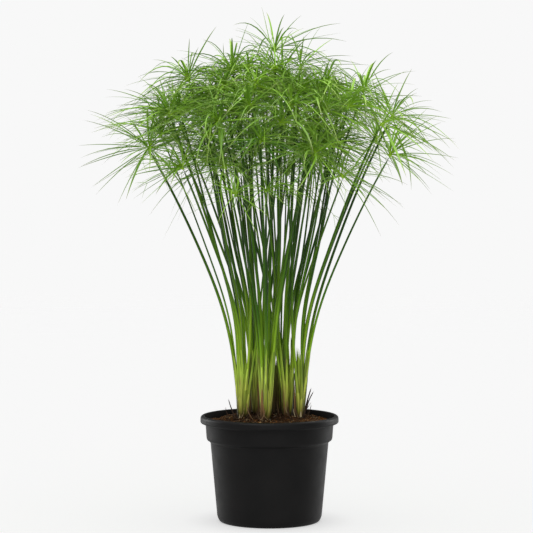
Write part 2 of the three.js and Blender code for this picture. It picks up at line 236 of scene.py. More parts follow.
def round_section(sides, ribs=0, rise=0.0):
    """A circle of radius 1 whose radius swells by `rise`, as a cosine, `ribs` times round."""
    turn = np.arange(sides) * 2 * np.pi / sides
    radius = 1 + rise * np.cos(ribs * turn)
    return np.stack([radius * np.cos(turn), radius * np.sin(turn)], axis=-1)


def quadratic(course, share):
    """root + a * s + b * s^2 at each share s, where a course is the arrays of its roots, a and b."""
    root, a, b = (part[:, None] for part in course)
    return root + a * share[None, :, None] + b * share[None, :, None] ** 2


CHANNEL = np.array([[-1, 0.55], [0, -1], [1, 0.55], [0, -0.25]])
THREAD = round_section(3)
print("sections: channel", len(CHANNEL), "points, thread", len(THREAD), "points")

# %% [markdown]
# ## Finishes
#
# A finish is a Principled shader fed by small node chains. Colours are written as they are read off
# a screen, from 0 to 255, and turned to the linear numbers that the shader takes. The plant's
# finishes read the attributes that each skin carries, so that a colour can follow a bract from its
# bright root to its withered tip whichever way the bract points.

# %% Finish helpers
WHITE = (1.0, 1.0, 1.0, 1.0)


def paint(red, green, blue):
    """A screen colour as linear red, green, blue and alpha: ((c/255 + 0.055) / 1.055) ^ 2.4."""
    shares = (np.array([red, green, blue]) / 255 + 0.055) / 1.055
    return (*(shares ** 2.4), 1.0)


class Finish:
    """A material with one Principled shader, and short ways to feed it."""

    def __init__(self, name, roughness, specular=0.5):
        self.material = bpy.data.materials.new(name)
        self.material.use_nodes = True
        self.tree = self.material.node_tree
        self.shader = self.tree.nodes["Principled BSDF"]
        self.shader.inputs["Roughness"].default_value = roughness
        self.shader.inputs["Specular IOR Level"].default_value = specular

    def node(self, kind, **settings):
        """A new node of the shader's tree."""
        made = self.tree.nodes.new("ShaderNode" + kind)
        for key, value in settings.items():
            setattr(made, key, value)
        return made

    def feed(self, source, target):
        """Links an output to an input."""
        self.tree.links.new(source, target)

    def attribute(self, name, output="Fac"):
        """What the mesh carries under this name."""
        return self.node("Attribute", attribute_name=name).outputs[output]

    def object_place(self):
        """The shaded point in metres. The floor is at height 0."""
        return self.node("TexCoord").outputs["Object"]

    def height(self, low, high):
        """0 at the height low, 1 at the height high, in metres above the floor."""
        split = self.node("SeparateXYZ")
        self.feed(self.object_place(), split.inputs[0])
        return self.spread(split.outputs["Z"], low, high)

    def inside(self, full, none):
        """1 nearer to the upright axis than the radius full, 0 beyond the radius none, in metres."""
        level = self.node("VectorMath", operation="MULTIPLY")
        level.inputs[1].default_value = (1.0, 1.0, 0.0)
        self.feed(self.object_place(), level.inputs[0])
        radius = self.node("VectorMath", operation="LENGTH")
        self.feed(level.outputs["Vector"], radius.inputs[0])
        return self.spread(radius.outputs["Value"], full, none, 1.0, 0.0)

    def edge_shade(self, colour, dark):
        """The colour, darker where the surface turns away, as painted shade on a stalk among others."""
        weight = self.node("LayerWeight")
        weight.inputs["Blend"].default_value = 0.5
        turned_away = self.spread(weight.outputs["Facing"], 0.2, 0.8)
        return self.mix(1.0, colour, self.mix(turned_away, WHITE, (*dark, 1.0)), "MULTIPLY")

    def noise(self, place, scale, detail=2.0, stretch=(1, 1, 1)):
        """Cloudy noise from 0 to 1. A larger scale makes finer clouds."""
        mapping = self.node("Mapping")
        mapping.inputs["Scale"].default_value = [scale * share for share in stretch]
        clouds = self.node("TexNoise")
        clouds.inputs["Scale"].default_value = 1.0
        clouds.inputs["Detail"].default_value = detail
        self.feed(place, mapping.inputs["Vector"])
        self.feed(mapping.outputs["Vector"], clouds.inputs["Vector"])
        return clouds.outputs["Fac"]

    def ramp(self, amount, *stops):
        """Screen colours blended between stops, each of them its share of the way, red, green, blue."""
        ramp = self.node("ValToRGB")
        while len(ramp.color_ramp.elements) < len(stops):
            ramp.color_ramp.elements.new(1.0)
        for element, (place, *colour) in zip(ramp.color_ramp.elements, stops):
            element.position = place
            element.color = paint(*colour)
        self.feed(amount, ramp.inputs["Fac"])
        return ramp.outputs["Color"]

    def mix(self, amount, first, second, kind="MIX"):
        """First at amount 0 and second at 1, or their product for MULTIPLY. Each may be a socket."""
        blend = self.node("Mix", data_type="RGBA", blend_type=kind)
        for socket, value in zip((blend.inputs[0], blend.inputs[6], blend.inputs[7]),
                                 (amount, first, second)):
            if isinstance(value, bpy.types.NodeSocket):
                self.feed(value, socket)
            else:
                socket.default_value = value
        return blend.outputs[2]

    def shade(self, colour, amount, *stops):
        """The colour times what a ramp of these stops gives."""
        return self.mix(1.0, colour, self.ramp(amount, *stops), "MULTIPLY")

    def lined(self, colour, scale, detail, drawn, dark, rise, strength):
        """Fine lines that run along a skin: noise drawn out in its grain, as a shade and as a bump."""
        grain = self.attribute("grain", "Vector")
        lines = self.noise(grain, scale, detail, stretch=(1, 1, drawn))
        self.bump(lines, rise, strength)
        return self.shade(colour, lines, (0.3, *dark), (0.7, 255, 255, 255))

    def join(self, operation, first, second):
        """One number from two, by an operation of the Math node."""
        made = self.node("Math", operation=operation)
        self.feed(first, made.inputs[0])
        self.feed(second, made.inputs[1])
        return made.outputs["Value"]

    def spread(self, amount, low, high, new_low=0.0, new_high=1.0):
        """amount, moved so that low becomes new_low and high becomes new_high, and held there."""
        span = self.node("MapRange")
        for socket, value in zip(("From Min", "From Max", "To Min", "To Max"),
                                 (low, high, new_low, new_high)):
            span.inputs[socket].default_value = value
        self.feed(amount, span.inputs["Value"])
        return span.outputs["Result"]

    def colour(self, source):
        """The shader's colour."""
        self.feed(source, self.shader.inputs["Base Color"])

    def roughness(self, source):
        """The shader's roughness, 0 for a mirror and 1 for chalk."""
        self.feed(source, self.shader.inputs["Roughness"])

    def bump(self, height, distance, strength=1.0):
        """Relief that only the light shows: the distance is its depth in metres."""
        bump = self.node("Bump")
        bump.inputs["Strength"].default_value = strength
        bump.inputs["Distance"].default_value = distance
        self.feed(height, bump.inputs["Height"])
        self.feed(bump.outputs["Normal"], self.shader.inputs["Normal"])


print("black plastic as linear numbers:", [round(x, 4) for x in paint(28, 28, 28)[:3]])

# %% [markdown]
# ## The studio
#
# The object stands on a pale floor in a white studio without a horizon. A curved paper sweep would
# do that from one side only. Here the floor is a wide disc, and the part of its brightness that the
# world's light doesn't give is its own glow, so the open floor has exactly the white of the world
# behind it and no edge shows from any side. The glow weakens where the pot hides the sky, which
# leaves the narrow shade that a real pot has round its foot. The lamps are linked to the plant alone:
# a crown this wide would otherwise lay a grey shade on the floor, where a lit white table shows
# nearly none. Two tall strips behind the pot draw the pale edges down its sides.

# %% World
WHITE_LEVEL = 0.939
FILL_LEVEL = 0.31
world = bpy.data.worlds.new("studio")
bpy.context.scene.world = world
world.use_nodes = True
sky = world.node_tree.nodes["Background"]
seen = world.node_tree.nodes.new("ShaderNodeLightPath")
level = world.node_tree.nodes.new("ShaderNodeMapRange")
level.inputs["To Min"].default_value = FILL_LEVEL
level.inputs["To Max"].default_value = WHITE_LEVEL
world.node_tree.links.new(seen.outputs["Is Camera Ray"], level.inputs["Value"])
world.node_tree.links.new(level.outputs["Result"], sky.inputs["Strength"])
sky.inputs["Color"].default_value = WHITE
bpy.context.scene.view_settings.view_transform = "Standard"
print("the camera sees white at", WHITE_LEVEL, "and the object is lit by a fill of", FILL_LEVEL)

# %% Floor
FLOOR_COLOUR = 0.8
SHELTER_REACH = 0.05
SHELTER_GLOW = 0.66
FLOOR_RADIUS = 6.0
FLOOR_FADE = (0.4, 0.9)


def floor_finish():
    """
    Its glow is what the fill light leaves missing: white - colour * fill. Close to the pot the glow
    falls to a share of that, g + (1 - g) * the part of the sky that is open within the shelter's
    reach, where g is the shelter glow: a painted shadow round the pot's foot. The disc fades out
    towards its rim.
    """
    finish = Finish("pale_floor", roughness=0.9, specular=0.0)
    finish.shader.inputs["Base Color"].default_value = (FLOOR_COLOUR,) * 3 + (1.0,)
    finish.shader.inputs["Emission Color"].default_value = WHITE
    glow = WHITE_LEVEL - FLOOR_COLOUR * FILL_LEVEL
    shelter = finish.node("AmbientOcclusion")
    shelter.inputs["Distance"].default_value = SHELTER_REACH
    finish.feed(finish.spread(shelter.outputs["AO"], 0.0, 1.0, SHELTER_GLOW * glow, glow),
                finish.shader.inputs["Emission Strength"])
    distance = finish.node("VectorMath", operation="LENGTH")
    finish.feed(finish.object_place(), distance.inputs[0])
    fade = [FLOOR_RADIUS * share for share in FLOOR_FADE]
    clear = finish.spread(distance.outputs["Value"], *fade, 1.0, 0.0)
    finish.feed(clear, finish.shader.inputs["Alpha"])
    return finish.material


def make_floor(sectors=96):
    """A disc at height 0: point = radius * (cos turn, sin turn)."""
    rim = round_section(sectors) * FLOOR_RADIUS
    mesh = bpy.data.meshes.new("floor")
    mesh.from_pydata(np.column_stack([rim, np.zeros(sectors)]).tolist(), [], [list(range(sectors))])
    mesh.materials.append(floor_finish())
    made = bpy.data.objects.new("floor", mesh)
    bpy.context.scene.collection.objects.link(made)
    return made


floor = make_floor()
unlit = bpy.data.collections.new("not_under_the_lamps")
unlit.objects.link(floor)
unlit.collection_objects[0].light_linking.link_state = "EXCLUDE"
print("the fill gives the floor", round(FLOOR_COLOUR * FILL_LEVEL, 3), "of its white")

# %% Lamps
SUNS = (
    dict(name="key_light", toward=(-0.35, -0.62, 1.0), strength=2.55, softness=50),
    dict(name="top_light", toward=(0.3, 0.3, 1.3), strength=2.3, softness=60),
    dict(name="front_light", toward=(0.25, -1.0, 0.3), strength=1.05, softness=60),
)
STRIPS = (
    dict(name="left_edge_light", place=(-1.4, 1.0, 0.4), size=(0.5, 1.6), watts=22),
    dict(name="right_edge_light", place=(1.4, 1.0, 0.5), size=(0.4, 1.6), watts=19),
)


def hang(light, place, tilt, turn):
    """Puts a lamp in the room, turned to its aim, and keeps its light off the floor."""
    lamp = bpy.data.objects.new(light.name, light)
    lamp.location = place
    lamp.rotation_euler = (tilt, 0, turn)
    lamp.light_linking.receiver_collection = unlit
    bpy.context.scene.collection.objects.link(lamp)


def hang_sun(name, toward, strength, softness):
    """A sun of some degrees across, placed the way that its light comes from."""
    light = bpy.data.lights.new(name, "SUN")
    light.energy = strength
    light.angle = math.radians(softness)
    tilt = math.atan2(math.hypot(toward[0], toward[1]), toward[2])
    hang(light, toward, tilt, math.atan2(toward[0], -toward[1]))


def hang_strip(name, place, size, watts):
    """A tall strip light that stands level and faces the upright axis."""
    light = bpy.data.lights.new(name, "AREA")
    light.shape = "RECTANGLE"
    light.size, light.size_y = size
    light.energy = watts
    hang(light, place, math.pi / 2, math.atan2(place[0], -place[1]))


for sun in SUNS:
    hang_sun(**sun)
for strip in STRIPS:
    hang_strip(**strip)
print("lamps:", len(SUNS) + len(STRIPS))

# %% [markdown]
# ## The pot
#
# The real pot is one thin wall of injection-moulded plastic with a rolled lip, a collar, a step that
# lets pots stack, a tapered wall and drain holes in a groove under the floor. It could be bevelled
# by a modifier. A turned profile with rounded corners gives the same shape exactly, and each
# corner has its own radius.

# %% Pot profile
POT_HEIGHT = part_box("pot")[1].z
LIP_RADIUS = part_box("pot")[1].x
LIP_RAISED = 2.2
WALL = 1.6 * MM
FLOOR_TOP = 4.4 * MM
POT_SECTORS = 144


def rounded(corners, steps=7):
    """
    The outline through (radius, height, rounding) corners. A rounded corner is the curve
    (1-t)^2 a + 2t(1-t) corner + t^2 b, between points a and b that lie its rounding away from it.
    """
    corners = np.array(corners)
    place, rounding = corners[:, :2], corners[:, 2:]
    before = unit(place[:-2] - place[1:-1]) * rounding[1:-1]
    after = unit(place[2:] - place[1:-1]) * rounding[1:-1]
    t = np.linspace(0, 1, steps)[None, :, None]
    middle = place[1:-1, None]
    start, end = middle + before[:, None], middle + after[:, None]
    curves = (1 - t) ** 2 * start + 2 * t * (1 - t) * middle + t ** 2 * end
    keep = np.where(rounding[1:-1, 0] > 0, steps, 1)
    kept = [curve[:count] for curve, count in zip(curves, keep)]
    return np.concatenate([place[:1], *kept, place[-1:]])


def pot_outline():
    """
    Corners in millimetres from the middle of the foot, up the outside, over the lip, which stands a
    little higher than the solid's, and down the inside to the floor.
    """
    lip, top = LIP_RADIUS / MM, POT_HEIGHT / MM + LIP_RAISED
    wall, floor = WALL / MM, FLOOR_TOP / MM
    outside = [
        (0, 0, 0), (22, 0, 0.8), (24, 2, 0.8), (56, 2, 0.8), (58, 0, 0.8), (68.2, 0, 2.8),
        (71.6, 6.2, 3.6), (80.8, 108.2, 1.6), (82.4, 110.2, 1.4), (85.7, 112.0, 1.8),
        (86.3, 115.6, 1.6), (87.6, 134.4, 2.0), (93.6, 135.0, 1.1), (94.6, 136.4, 1.0),
        (lip, top - 2.2, 1.8), (lip - 2.4, top, 1.8), (lip - 5.6, top - 0.2, 1.2),
    ]
    inside = [
        (87.2, 140.4, 1.6), (87.4 - wall, 131, 2), (86.2 - wall, 114.4 + wall, 1.2),
        (80.8 - wall, 109.4 + wall, 1.2), (71.6 - wall, floor + 6, 4), (66, floor, 2.4), (0, floor, 0),
    ]
    return rounded(outside + inside) * MM


def turned(outline, sectors):
    """Rings of an outline turned about the upright axis: (radius cos turn, radius sin turn, height)."""
    circle = round_section(sectors)
    flat = outline[:, None, :1] * circle[None]
    height = np.broadcast_to(outline[:, None, 1:], (*flat.shape[:2], 1))
    return np.concatenate([flat, height], axis=-1)


print("the pot's outline has", len(pot_outline()), "points")

# %% Pot finish
DULL_SHADE_RADII = (0.0886, 0.0894)
DULL_SHADE_HEIGHTS = (0.1352, 0.1358)


def plastic_finish():
    """
    Satin black plastic, a little clouded by handling, with the fine grain of a blasted mould. Inside
    the lip it is dull, and painted darker as shade.
    """
    finish = Finish("black_plastic", roughness=0.46, specular=0.1)
    place = finish.object_place()
    satin = finish.ramp(finish.noise(place, 26, detail=4), (0.3, 12, 12, 12), (0.7, 17, 16, 16))
    # Painted shade: inside the lip, above the peat, the colour is darkened to nearly black, and it is
    # made dull there as well.
    dull_shaded = finish.join("MULTIPLY", finish.inside(*DULL_SHADE_RADII), finish.height(*DULL_SHADE_HEIGHTS))
    finish.colour(finish.mix(dull_shaded, satin, paint(9, 7, 5)))
    worn = finish.spread(finish.noise(place, 60, detail=3), 0.3, 0.7, 0.42, 0.54)
    finish.roughness(finish.join("MAXIMUM", worn, dull_shaded))
    finish.bump(finish.noise(place, 2400, detail=1), distance=0.00004, strength=0.5)
    return finish.material


plastic = plastic_finish()
print("black plastic:", len(plastic.node_tree.nodes), "nodes")

# %% Pot
DRAIN_HOLES = 5
DRAIN_RING = 40 * MM
DRAIN_RADIUS = 6.5 * MM
ROD_SIDES = 24
ROD_LEVELS = (-2 * MM, 8 * MM)


def cut_drain_holes(pot):
    """Takes upright rods out of the floor, one for each hole, evenly round the groove."""
    rods = Growth()
    turn = np.arange(DRAIN_HOLES) * 2 * np.pi / DRAIN_HOLES
    middle = compass(turn) * DRAIN_RING
    circle = np.column_stack([round_section(ROD_SIDES) * DRAIN_RADIUS, np.zeros(ROD_SIDES)])
    levels = np.array(ROD_LEVELS)[None, :, None, None] * UP
    rings = middle[:, None, None] + circle[None, None] + levels
    grain = np.zeros((DRAIN_HOLES * (2 * ROD_SIDES + 1), 3))
    rods.add_rings(rings, middle + ROD_LEVELS[1] * UP, np.zeros((DRAIN_HOLES, 3)), np.zeros(DRAIN_HOLES),
                   grain)
    cutter = rods.piece("drain_rods", plastic)
    modifier = pot.modifiers.new("drain_holes", "BOOLEAN")
    modifier.operation = "DIFFERENCE"
    modifier.solver = "EXACT"
    modifier.object = cutter
    whole = bpy.data.meshes.new_from_object(pot.evaluated_get(bpy.context.evaluated_depsgraph_get()))
    pot.modifiers.clear()
    pot.data = whole
    bpy.data.objects.remove(cutter)


def make_pot():
    """The outline turned all the way round, drilled, and sharp only at its tight corners."""
    outline = pot_outline()
    rings = turned(outline[1:-1], POT_SECTORS)[None]
    along = np.linspace(0, 1, len(outline) - 1)[None]
    growth = Growth()
    growth.add_rings(rings, np.array([[0, 0, FLOOR_TOP]]), along, np.zeros(1),
                     np.zeros((rings[0].size // 3 + 1, 3)))
    pot = growth.piece("nursery_pot", plastic, ["pot"])
    cut_drain_holes(pot)
    pot.data.set_sharp_from_angle(angle=math.radians(40))
    return pot


pot = make_pot()
print("pot:", triangle_count([pot]), "triangles")

# %% [markdown]
# ## The peat
#
# Peat is a heap of brown crumbs and fibres. One displaced surface looks like clay, and a heap of
# nothing but crumbs would take millions of faces. So the heap is both: an uneven surface for the
# mass of it, and on the surface a few thousand crumbs and fibres, which break its outline and
# catch the light.

# %% Ground height
GROUND_RADII = np.array([0, 34, 66, 82, 86]) * MM
GROUND_HEIGHTS = np.array([143.4, 142.8, 139.2, 135.4, 134.0]) * MM
STREWN_RADIUS = 84 * MM
LATTICE = 64


def lumps(x, y, size, seed):
    """
    Smooth random heights from 0 to 1. A lattice of cells, each `size` wide, has a random height at
    every corner, and a point blends the four around it by the curve 3t^2 - 2t^3 both ways.
    """
    corner = np.random.default_rng(seed).random((LATTICE, LATTICE))
    column, row = np.floor(x / size).astype(int), np.floor(y / size).astype(int)
    u, v = x / size - column, y / size - row
    u, v = u * u * (3 - 2 * u), v * v * (3 - 2 * v)
    left, right = column % LATTICE, (column + 1) % LATTICE
    near, far = row % LATTICE, (row + 1) % LATTICE
    front = corner[near, left] * (1 - u) + corner[near, right] * u
    back = corner[far, left] * (1 - u) + corner[far, right] * u
    return front * (1 - v) + back * v


def ground_height(x, y):
    """The mound's profile plus lumps of three sizes, each a third as wide and high as the last."""
    mound = np.interp(np.hypot(x, y), GROUND_RADII, GROUND_HEIGHTS)
    rough = 2.6 * lumps(x, y, 14 * MM, 1) + 1.5 * lumps(x, y, 5 * MM, 2) + 0.8 * lumps(x, y, 1.9 * MM, 3)
    return mound + (rough - 2.4) * MM


middle_height = float(ground_height(np.zeros(1), np.zeros(1))[0])
print("the peat's height at the middle, in m:", round(middle_height, 4))

# %% Peat finish
PAINTED_SHADE_MIDDLE = (-0.012, 0.004, 0.143)
PAINTED_SHADE_REACH = (0.035, 0.085)
PAINTED_SHADE_TINT = (0.3, 0.28, 0.22, 1.0)


def peat_finish():
    """
    Dark brown, redder where it has dried, and pale on the few specks whose tone is high. Among the
    tufts it is darker, as painted shade.
    """
    finish = Finish("peat", roughness=0.92, specular=0.1)
    place = finish.object_place()
    earth = finish.ramp(finish.noise(place, 420, detail=4), (0.3, 24, 14, 6), (0.55, 60, 38, 12),
                        (0.75, 112, 80, 38))
    dry = finish.ramp(finish.attribute("tone"), (0.0, 20, 12, 5), (0.5, 60, 36, 14),
                      (0.97, 116, 74, 34), (0.985, 170, 140, 96))
    # Painted shade: the peat darkens towards a point among the tufts, where the stems shade it.
    away = finish.node("VectorMath", operation="DISTANCE")
    finish.feed(place, away.inputs[0])
    away.inputs[1].default_value = PAINTED_SHADE_MIDDLE
    painted_shade = finish.mix(finish.spread(away.outputs["Value"], *PAINTED_SHADE_REACH), PAINTED_SHADE_TINT, WHITE)
    finish.colour(finish.mix(1.0, finish.mix(0.6, earth, dry), painted_shade, "MULTIPLY"))
    finish.bump(finish.noise(place, 1500, detail=3), distance=0.0004, strength=0.8)
    return finish.material


peat = peat_finish()
print("peat finish:", len(peat.node_tree.nodes), "nodes")

# %% Peat heap
PEAT_SECTORS = 220
PEAT_RINGS = 96


def make_heap():
    """The top is ground height over rings of growing radius; below it the heap follows the pot's wall."""
    top_radii = np.linspace(84.9, 0.9, PEAT_RINGS) * MM
    wall = np.array([(65.5, 5.2), (69.6, 12), (78.6, 107), (83.6, 113.5), (84.6, 126)]) * MM
    outline = np.concatenate([wall, np.column_stack([top_radii, np.zeros(PEAT_RINGS)])])
    rings = turned(outline, PEAT_SECTORS)
    top = rings[len(wall):]
    top[..., 2] = ground_height(top[..., 0], top[..., 1])
    points = rings.size // 3
    centre = np.array([[0, 0, middle_height]])
    tone_noise = lumps(rings[..., 0], rings[..., 1], 9 * MM, 4).ravel() * 0.5
    growth = Growth()
    quads, triangles = skin_faces(1, len(outline), PEAT_SECTORS)
    looks = np.append(tone_noise, 0.3)
    growth.add(np.concatenate([rings.reshape(-1, 3), centre]), quads, triangles,
               0 * looks, looks, np.zeros((points + 1, 3)))
    return growth.piece("peat_heap", peat, ["soil"])


heap = make_heap()
print("peat heap:", triangle_count([heap]), "triangles")

# %% Peat crumbs
CRUMBS = 4200
CRUMB_SIZES = (0.9, 3.8)


def icosahedron():
    """Twelve points at (0, 1, golden) and its turns, all 1 away from the middle, and twenty faces."""
    golden = (1 + math.sqrt(5)) / 2
    ends = np.array([[a, b * golden] for a in (-1, 1) for b in (-1, 1)])
    zero = np.zeros((4, 1))
    points = np.concatenate([np.hstack([zero, ends]), np.hstack([ends, zero]),
                             np.hstack([ends[:, 1:], zero, ends[:, :1]])])
    gaps = np.linalg.norm(points[:, None] - points[None], axis=-1)
    near = (gaps > 0.1) & (gaps < 2.1)
    a, b, c = np.nonzero(near[:, :, None] & near[:, None, :] & near[None])
    faces = np.stack([a, b, c], axis=-1)[(a < b) & (b < c)]
    edge = np.cross(points[faces[:, 1]] - points[faces[:, 0]], points[faces[:, 2]] - points[faces[:, 0]])
    inward = (edge * points[faces[:, 0]]).sum(axis=-1) < 0
    faces[inward] = faces[inward][:, ::-1]
    return unit(points), faces


def random_turns(random, count):
    """Turning matrices: three square unit vectors made from two random ones by cross products."""
    first = unit(random.normal(size=(count, 3)))
    second = unit(np.cross(first, random.normal(size=(count, 3))))
    return np.stack([first, second, np.cross(first, second)], axis=-1)


def on_disc(random, count, radius):
    """Even spread over a disc: the radius goes with the square root of a random share."""
    away, turn = radius * np.sqrt(random.random(count)), random.random(count) * 2 * np.pi
    return away * np.cos(turn), away * np.sin(turn)


def make_crumbs():
    """
    A crumb is an icosahedron with knobs, stretched and turned at random. Its size is least + span *
    share^2.4, so most are small, and its middle stands 0.35 of half that above the ground.
    """
    random = np.random.default_rng(11)
    x, y = on_disc(random, CRUMBS, STREWN_RADIUS)
    share = random.random(CRUMBS) ** 2.4
    size = (CRUMB_SIZES[0] + (CRUMB_SIZES[1] - CRUMB_SIZES[0]) * share) * MM / 2
    middle = np.stack([x, y, ground_height(x, y) + 0.35 * size], axis=-1)
    shape, faces = icosahedron()
    stretch = random.uniform(0.6, 1.4, (CRUMBS, 1, 3)) * size[:, None, None]
    knobs = random.uniform(0.75, 1.2, (CRUMBS, 12, 1))
    points = np.einsum("nij,nkj->nki", random_turns(random, CRUMBS), shape * knobs * stretch)
    points = (points + middle[:, None]).reshape(-1, 3)
    triangles = (faces + 12 * np.arange(CRUMBS)[:, None, None]).reshape(-1, 3)
    tone = np.repeat(random.random(CRUMBS), 12)
    growth = Growth()
    growth.add(points, np.zeros((0, 4), int), triangles, 0 * tone, tone, np.zeros((len(tone), 3)))
    return growth.piece("peat_crumbs", peat, sharp_degrees=35)


crumbs = make_crumbs()
print("crumbs:", CRUMBS, "with", triangle_count([crumbs]), "triangles")

# %% [markdown]
# ## Courses of the stems
#
# The solids already say where 26 stems run. A solid stem is a few rings of four points, and the
# middles of its rings lie on a curve whose x and y are quadratics of the height. Fitting that
# quadratic gives the course back, smooth, and carries it down through the sheath to the foot. The
# real clump has more than twice as many stems. The others are slighter, rise from the same tufts,
# and fill the room between. Those that cross other stems in plain sight are given one by one too.

# %% Read the solid stems
TUFT_COUNT = sum(name.startswith("tuft_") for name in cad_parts)
STEM_COUNT = sum(name.startswith("stem_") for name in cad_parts)
FOOT_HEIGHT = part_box("tuft_01")[0].z


def solid(node):
    """A node's points without repeats, and its triangles as rows of point numbers."""
    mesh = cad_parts[node].data
    points = np.empty(len(mesh.vertices) * 3, np.float32)
    corners = np.empty(len(mesh.loops), np.int32)
    mesh.vertices.foreach_get("co", points)
    mesh.loops.foreach_get("vertex_index", corners)
    merged, number = np.unique(points.reshape(-1, 3), axis=0, return_inverse=True)
    return merged.astype(float), number.ravel()[corners].reshape(-1, 3)


def read_course(node, sides=4):
    """Foot, control and hub of a solid stem, from a quadratic fit of x and y over the height."""
    points, _ = solid(node)
    middles = points[np.argsort(points[:, 2])].reshape(-1, sides, 3).mean(axis=1)
    fit = np.polyfit(middles[:, 2], middles[:, :2], 2)
    top = middles[-1, 2]
    heights = np.array([FOOT_HEIGHT, (FOOT_HEIGHT + top) / 2, top])
    places = fit[0] * heights[:, None] ** 2 + fit[1] * heights[:, None] + fit[2]
    foot, middle, hub = np.column_stack([places, heights])
    return foot, 2 * middle - (foot + hub) / 2, hub


courses = np.array([read_course(f"stem_{i + 1:02d}") for i in range(STEM_COUNT)])
tuft_boxes = [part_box(f"tuft_{i + 1:02d}") for i in range(TUFT_COUNT)]
tuft_middles = np.array([(low + high) / 2 for low, high in tuft_boxes])
apart = np.linalg.norm(courses[:, 0, None, :2] - tuft_middles[None, :, :2], axis=-1)
stem_tufts = apart.argmin(axis=1)


def tuft_feet():
    """The middle of the feet of each tuft's stems."""
    return np.array([courses[stem_tufts == i, 0, :2].mean(axis=0) for i in range(TUFT_COUNT)])


# The solids' feet keep clear of each other. The real ones press together, so they are drawn in.
FOOT_DRAW = 0.4
gathered = tuft_feet()[stem_tufts]
courses[:, 0, :2] = gathered + FOOT_DRAW * (courses[:, 0, :2] - gathered)
print("stems in each tuft:", np.bincount(stem_tufts).tolist())

# %% Slighter stems between them
# Each row is the number of a tuft and its stem's hub in millimetres. The seen side is -Y.
SLIGHT_STEMS = np.array([
    [1, -88, 24, 562], [0, -84, -44, 524], [4, -62, -14, 590], [2, -58, -62, 482], [3, -52, 30, 614],
    [1, -70, 98, 510], [1, -62, 46, 594], [3, -10, 66, 580], [1, -78, 40, 498], [1, -30, 24, 614],
    [3, -20, 90, 500], [2, -5, -104, 452], [4, -24, -96, 562], [0, 26, -84, 564], [4, -66, -92, 542],
    [0, -20, -60, 590], [5, 14, -100, 540], [2, 40, -52, 584], [1, 30, 96, 510], [3, 70, 84, 578],
    [3, -6, 118, 520], [3, 54, 60, 500], [1, 26, 66, 590], [3, -8, 84, 602], [2, 30, -20, 588],
    [4, 80, -70, 512], [2, 66, -30, 582], [4, 76, 44, 520], [1, 4, 34, 584], [4, 42, -60, 506],
    [4, 92, -6, 552], [5, 104, -62, 562], [5, 90, 72, 512], [2, 76, -8, 592], [2, 56, -80, 528],
    [5, 96, 30, 562], [1, -40, 70, 476], [3, 24, 80, 474], [4, 60, 20, 490], [0, -82, 20, 488],
    [1, -128, 50, 550], [0, -120, -30, 556], [1, -76, 30, 580], [0, -148, 6, 526],
])
START_LEANS = (0.12, 0.5)
LEAN_BY_REACH = ([50, 100, 150], [1.0, 0.55, 0.2])
OUTER_FEET = 3.4 * MM
AIM_SLACK = 0.5
BOW = 4


def by_mm(value, places, levels):
    """The level at a value, on straight lines between the levels at these places in millimetres."""
    return np.interp(value, np.array(places) * MM, levels)


def slight_courses():
    """
    A foot stands on a circle round its tuft, on the hub's side of it. The control lies at half the
    height and less than half of the way out to the hub, so a stem bends outward on its way, and the
    outer ones, which go far out, start nearly upright.
    """
    random = np.random.default_rng(5)
    hubs = SLIGHT_STEMS[:, 1:] * MM
    count = len(hubs)
    middle = tuft_feet()[SLIGHT_STEMS[:, 0]]
    toward = np.arctan2(*(hubs[:, :2] - middle).T[::-1]) + random.uniform(-AIM_SLACK, AIM_SLACK, count)
    feet = np.column_stack([middle, np.full(count, FOOT_HEIGHT)]) + OUTER_FEET * compass(toward)
    controls = (feet + hubs) / 2
    bow = random.uniform(-BOW, BOW, (count, 2)) * MM
    lean = random.uniform(*START_LEANS, (count, 1)) * by_mm(abs(hubs[:, :1]), *LEAN_BY_REACH)
    controls[:, :2] = feet[:, :2] + lean * (hubs - feet)[:, :2] + bow
    return np.stack([feet, controls, hubs], axis=1)


courses = np.concatenate([courses, slight_courses()])
stem_tufts = np.concatenate([stem_tufts, SLIGHT_STEMS[:, 0]])
slight = np.arange(len(courses)) >= STEM_COUNT
print("stems in all:", len(courses), "of which slight:", int(slight.sum()))

# %% Places on a course
GATHER = 0.16
GATHER_HEIGHT = 270 * MM
GATHER_REACH = 80 * MM
GATHER_BY_REACH = ([130, 160], [1.0, 0.4])


def place_on(course, share):
    """
    The point of (1-t)^2 foot + 2t(1-t) control + t^2 hub at each share t, for each course. The sheaths
    hold the stems together a hand's breadth up, so x and y lose the share
    gather * e^-((height - gather height) / reach)^2 there, and the outermost stems less than half of it.
    """
    foot, control, hub = (course[:, i, None] for i in range(3))
    t = share[..., None]
    place = (1 - t) ** 2 * foot + 2 * t * (1 - t) * control + t ** 2 * hub
    near = ((place[..., 2:] - GATHER_HEIGHT) / GATHER_REACH) ** 2
    hold = GATHER * by_mm(abs(hub[..., :1]), *GATHER_BY_REACH)
    return place * (1 - hold * np.exp(-near) * (1 - UP))


def heading_on(course, share):
    """The way that the course runs at each share, of length 1."""
    foot, control, hub = (course[:, i, None] for i in range(3))
    t = share[..., None]
    return unit((1 - t) * (control - foot) + t * (hub - control))


half_way = place_on(courses, np.full((len(courses), 1), 0.5))[:, 0]
print("half way up, the stems are within", round(float(abs(half_way[:, 0]).max()), 3), "m of the axis")

# %% [markdown]
# ## The stems
#
# A culm of this sedge is smooth, solid and bluntly three-cornered, with fine lines along it. It is
# straw-coloured where the sheaths kept it from the light, bright green above them and dark green
# for most of its length. A plain tube would miss the three blunt corners, so the section swells
# three times round, and the colour follows the share of the way up.

